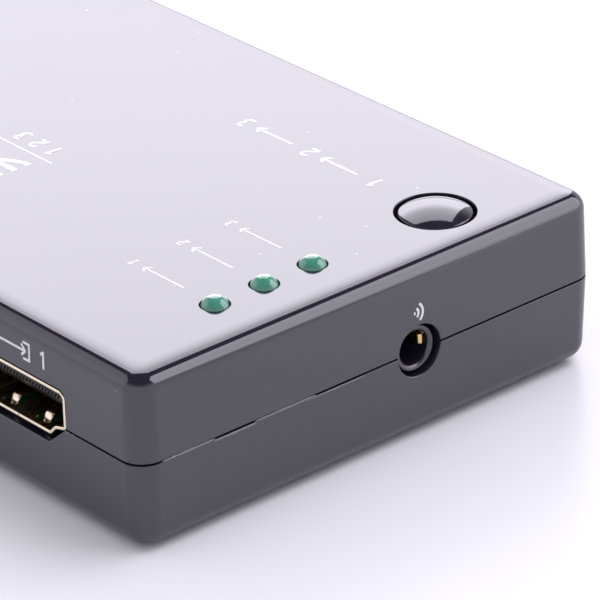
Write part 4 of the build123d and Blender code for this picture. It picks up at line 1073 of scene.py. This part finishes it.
class SWITCHBOX_OT_signs(bpy.types.Operator):
    """Printed signs: numbers beside the lights and over the inputs, and plain pictures"""

    bl_idname = "switchbox.signs"
    bl_label = "Printed signs"

    def on_top(self, ink):
        """Signs on the top, read from the front: each light's, the button's and the large one."""
        strokes = []
        left = -HALF_X
        for number, node in enumerate(LENSES, start=1):
            base = middle(node)[1] - 0.71
            strokes += signs_of(arrow(4.7, 0.46), 1.3, 0.25, (left + 12.2, base))
            strokes += signs_of(NUMERALS[str(number)], 1.3, 0.26, (left + 19.5, base), 0.12)
        row, pitch = HALF_Y - 46.1, 10.1
        for index, number in enumerate("123"):
            strokes += signs_of(NUMERALS[number], 2.0, 0.42, (left + 16.2 + pitch * index, row), 0.12)
        for index in range(2):
            strokes += signs_of(arrow(2.7, 0.34), 2.0, 0.38, (left + 19.6 + pitch * index, row))
        strokes += signs_of(join_sign(), 4.4, 0.75, (left + 44.3, HALF_Y - 22.7))
        strokes.append(ribbon(line((left + 43.35, HALF_Y - 24.2), (left + 62.0, HALF_Y - 24.2)), 0.3))
        for index, number in enumerate("123"):
            strokes += signs_of(NUMERALS[number], 2.0, 0.42, (left + 44.9 + 2.6 * index, HALF_Y - 27.2), 0.12)
        return [printed(stroke, (0, 0, TOP_Z), (1, 0, 0), (0, 1, 0), ink) for stroke in strokes]

    def on_walls(self, ink):
        """Signs on the upright sides over the parting line, along their draft."""
        walls = []
        for number, node in enumerate(("hdmi_in_1", "hdmi_in_2", "hdmi_in_3"), start=1):
            strokes = signs_of(socket_sign(2.6), 1.75, 0.27, (-3.3, 5.45))
            walls.append((*port_place(node), strokes + signs_of(NUMERALS[str(number)], 1.9, 0.28, (3.75, 5.4))))
        walls.append((*port_place("hdmi_out"), signs_of(socket_sign(2.6, True), 1.75, 0.27, (-3.0, 5.45))))
        place = (middle("dc_jack_pin")[0], -HALF_Y, PARTING_Z)
        walls.append((place, (0, -1, 0), signs_of(polarity_sign(), 1.9, 0.24, (-2.2, 5.4))))
        place = (-HALF_X, middle("ir_jack_body")[1], PARTING_Z)
        walls.append((place, (-1, 0, 0), signs_of(beam_sign(), 1.8, 0.28, (-0.65, 3.35))))
        solids = []
        for place, outward, strokes in walls:
            right = np.cross((0, 0, 1), outward)
            up = (np.array((0, 0, 1.0)) - UPPER_LEAN * np.array(outward)) / math.hypot(1, UPPER_LEAN)
            solids += [printed(stroke, place, right, up, ink) for stroke in strokes]
        return solids

    def execute(self, context):
        ink = context.scene.switch_case.ink_height / MM
        solids = self.on_top(ink) + self.on_walls(ink)
        # strokes that cross in one plane would show black dots, so they are joined
        signs = put_mesh("printed_signs", solids[:1])
        combine(signs, solids[1:], "UNION")
        finish_piece(signs, "case", finish_of("ink"), [], 30)
        return {"FINISHED"}


class SWITCHBOX_OT_carried(bpy.types.Operator):
    """Finishes for the CAD nodes that stay: everything inside the case"""

    bl_idname = "switchbox.carried"
    bl_label = "Inner parts"

    def execute(self, context):
        slots = {row["node"]: row["material_slot"] for row in frame["record"]["subparts"]}
        for node, piece in frame["nodes"].items():
            if piece.hide_render:
                continue
            finish = finish_of(slots[node])
            if not piece.material_slots:
                piece.data.materials.append(finish)
            for place in piece.material_slots:
                place.material = finish
        return {"FINISHED"}


# ---- stage ----

LAMP_TINT = (0.93, 0.91, 1.0)
# Camera, fitted to the photograph's edges: the way it looks, its level right, its place in
# metres and its roll in degrees
LOOK_AHEAD, LOOK_RIGHT = (0.680069, -0.574826, -0.455063), (-0.645538, -0.763728, 0.0)
CAMERA_PLACE, CAMERA_ROLL = (-0.34576, 0.26381, 0.22211), -1.6
# Pairs of share of a lamp's height and share of its radiance
BACK_FADE = ((0.0, 0.05), (0.096, 0.51), (0.268, 0.7), (0.424, 1.0), (0.622, 0.815), (0.781, 0.73), (1.0, 0.64))
LEFT_FADE = ((0.0, 0.12), (0.12, 0.36), (0.3, 0.57), (0.48, 0.74), (0.66, 0.86), (0.85, 0.96), (1.0, 1.0))
RIGHT_FADE = ((0.0, 0.1), (0.4, 0.3), (0.8, 0.9), (1.0, 1.0))


def turned_to(x, y, z, place):
    """Matrix of an object whose own axes lie along x, y and z, at a place in metres."""
    return Matrix([(x[i], y[i], z[i], place[i]) for i in range(3)] + [(0, 0, 0, 1)])


def softbox(name, azimuth, elevation, away, spread, radiance, fade=None, diffuse=True, glossy=True):
    """An area lamp of a given radiance that faces the box from a direction in degrees and covers
    a spread of degrees across and up. Where fade is set, the radiance changes with the height
    on the lamp."""
    lamp = bpy.data.lights.new(name, "AREA")
    lamp.shape = "RECTANGLE"
    lamp.size, lamp.size_y = [2 * away * math.tan(math.radians(v / 2)) for v in spread]
    lamp.energy = radiance * math.pi * lamp.size * lamp.size_y
    lamp.color = LAMP_TINT
    if fade:
        lamp.use_nodes = True
        tree = lamp.node_tree
        across = add_node(tree, "ShaderNodeNewGeometry").outputs["Parametric"]
        height = add_node(tree, "ShaderNodeSeparateXYZ", {0: across}).outputs["Y"]
        ramp = add_node(tree, "ShaderNodeFloatCurve", {"Value": height})
        curve = ramp.mapping.curves[0]
        curve.points[0].location, curve.points[1].location = fade[0], fade[-1]
        for share, level in fade[1:-1]:
            curve.points.new(share, level)
        ramp.mapping.update()
        tree.links.new(ramp.outputs[0], tree.nodes["Emission"].inputs["Strength"])
    holder = bpy.data.objects.new(name, lamp)
    bpy.context.scene.collection.objects.link(holder)
    a, e = math.radians(azimuth), math.radians(elevation)
    z = np.array((math.cos(a) * math.cos(e), math.sin(a) * math.cos(e), math.sin(e)))
    x = np.cross((0, 0, 1), z)
    x /= np.linalg.norm(x)
    holder.matrix_world = turned_to(x, np.cross(z, x), z, away * z)
    holder.visible_camera = False
    holder.visible_diffuse = diffuse
    holder.visible_glossy = glossy


class SWITCHBOX_OT_stage(bpy.types.Operator):
    """Stage: pale floor, soft lamps, plain sky and the camera at the photograph's angle"""

    bl_idname = "switchbox.stage"
    bl_label = "Stage"

    def floor(self, look):
        """A pale satin floor that reaches far past the view."""
        reach = 4000.0
        corners = np.array([(-reach, -reach, 0), (reach, -reach, 0), (reach, reach, 0), (-reach, reach, 0)])
        floor = put_mesh("floor", [(corners, [[0, 1, 2, 3]])])
        made, _, shader = node_tree("Floor")
        set_inputs(shader, Base_Color=colour(look.floor), Roughness=0.28, IOR=1.22)
        floor.data.materials.append(made)

    def sky(self, scene, look):
        """Plain white to the camera. Dull surfaces get an even light, and glossy ones the same
        light, which is dimmer overhead."""
        world = bpy.data.worlds.new("Sky")
        scene.world = world
        world.use_nodes = True
        tree = world.node_tree
        tree.nodes.clear()
        out = tree.nodes.new("ShaderNodeOutputWorld")
        path = add_node(tree, "ShaderNodeLightPath").outputs
        ray = add_node(tree, "ShaderNodeTexCoord").outputs["Generated"]
        height = add_node(tree, "ShaderNodeSeparateXYZ", {0: ray}).outputs["Z"]
        dome = add_node(tree, "ShaderNodeMapRange", {
            "Value": height, "From Min": 0.25, "From Max": 0.7, "To Min": look.horizon, "To Max": look.zenith,
        }, interpolation_type="SMOOTHSTEP")
        lit = add_node(tree, "ShaderNodeMix", {"Factor": path["Is Glossy Ray"], "A": look.sky, "B": dome.outputs[0]})
        seen = sum_up(tree, "MAXIMUM", path["Is Camera Ray"], path["Is Transmission Ray"])
        level = add_node(tree, "ShaderNodeMix", {"Factor": seen, "A": lit.outputs[0], "B": 1.0})
        shade = add_node(tree, "ShaderNodeMix", {
            "Factor": seen, "A": colour(LAMP_TINT), "B": (1.0, 1.0, 1.0, 1.0)}, data_type="RGBA")
        sky = add_node(tree, "ShaderNodeBackground", {
            "Color": shade.outputs["Result"], "Strength": level.outputs[0]})
        tree.links.new(sky.outputs[0], out.inputs["Surface"])

    def camera(self, scene, look):
        """The camera at the photograph's angle."""
        camera = bpy.data.cameras.new("camera")
        camera.lens, camera.sensor_width = look.lens, 36.0
        camera.clip_start, camera.clip_end = 0.01, 20.0
        holder = bpy.data.objects.new("camera", camera)
        scene.collection.objects.link(holder)
        ahead, right = np.array(LOOK_AHEAD), np.array(LOOK_RIGHT)
        rise = np.cross(right, ahead)
        roll = math.radians(CAMERA_ROLL)
        x = math.cos(roll) * right + math.sin(roll) * rise
        y = -math.sin(roll) * right + math.cos(roll) * rise
        holder.matrix_world = turned_to(x, y, -ahead, CAMERA_PLACE)
        scene.camera = holder

    def execute(self, context):
        scene, look = context.scene, context.scene.switch_stage
        self.floor(look)
        self.sky(scene, look)
        softbox("back_lamp", -39.0, 34.0, 0.9, (44, 64), look.back_lamp, BACK_FADE, diffuse=False)
        softbox("left_lamp", -123.0, 27.0, 0.9, (46, 53), look.left_lamp, LEFT_FADE, diffuse=False)
        softbox("right_lamp", 38.0, 24.0, 1.2, (46, 46), look.right_lamp, RIGHT_FADE, diffuse=False)
        softbox("key_lamp", -125.0, 62.0, 0.9, (40, 40), look.key_lamp, glossy=False)
        self.camera(scene, look)
        scene.view_settings.view_transform = "Standard"
        return {"FINISHED"}


# ---- add-on ----

OPERATORS = (
    SWITCHBOX_OT_upper_shell,
    SWITCHBOX_OT_lower_shell,
    SWITCHBOX_OT_feet,
    SWITCHBOX_OT_receptacles,
    SWITCHBOX_OT_jacks,
    SWITCHBOX_OT_lights,
    SWITCHBOX_OT_button,
    SWITCHBOX_OT_signs,
    SWITCHBOX_OT_carried,
    SWITCHBOX_OT_stage,
)


class SWITCHBOX_PT_pieces(bpy.types.Panel):
    """Every operator of the switch box"""

    bl_label = "Switch box"
    bl_idname = "SWITCHBOX_PT_pieces"
    bl_space_type = "VIEW_3D"
    bl_region_type = "UI"
    bl_category = "Switch box"

    def draw(self, context):
        for operator in OPERATORS:
            self.layout.operator(operator.bl_idname, text=operator.bl_label)


SETTINGS = {
    "switch_case": SwitchCase,
    "switch_port": SwitchPort,
    "switch_light": SwitchLight,
    "switch_stage": SwitchStage,
}


def register():
    for name, kind in SETTINGS.items():
        bpy.utils.register_class(kind)
        setattr(bpy.types.Scene, name, PointerProperty(type=kind))
    for kind in OPERATORS + (SWITCHBOX_PT_pieces,):
        bpy.utils.register_class(kind)


def unregister():
    for kind in reversed(OPERATORS + (SWITCHBOX_PT_pieces,)):
        bpy.utils.unregister_class(kind)
    for name, kind in reversed(SETTINGS.items()):
        delattr(bpy.types.Scene, name)
        bpy.utils.unregister_class(kind)


def main():
    register()
    bpy.ops.switchbox.upper_shell()
    bpy.ops.switchbox.lower_shell()
    bpy.ops.switchbox.feet()
    bpy.ops.switchbox.receptacles()
    bpy.ops.switchbox.jacks()
    bpy.ops.switchbox.lights()
    bpy.ops.switchbox.button()
    bpy.ops.switchbox.signs()
    bpy.ops.switchbox.carried()
    bpy.ops.switchbox.stage()


if __name__ == "__main__":
    main()
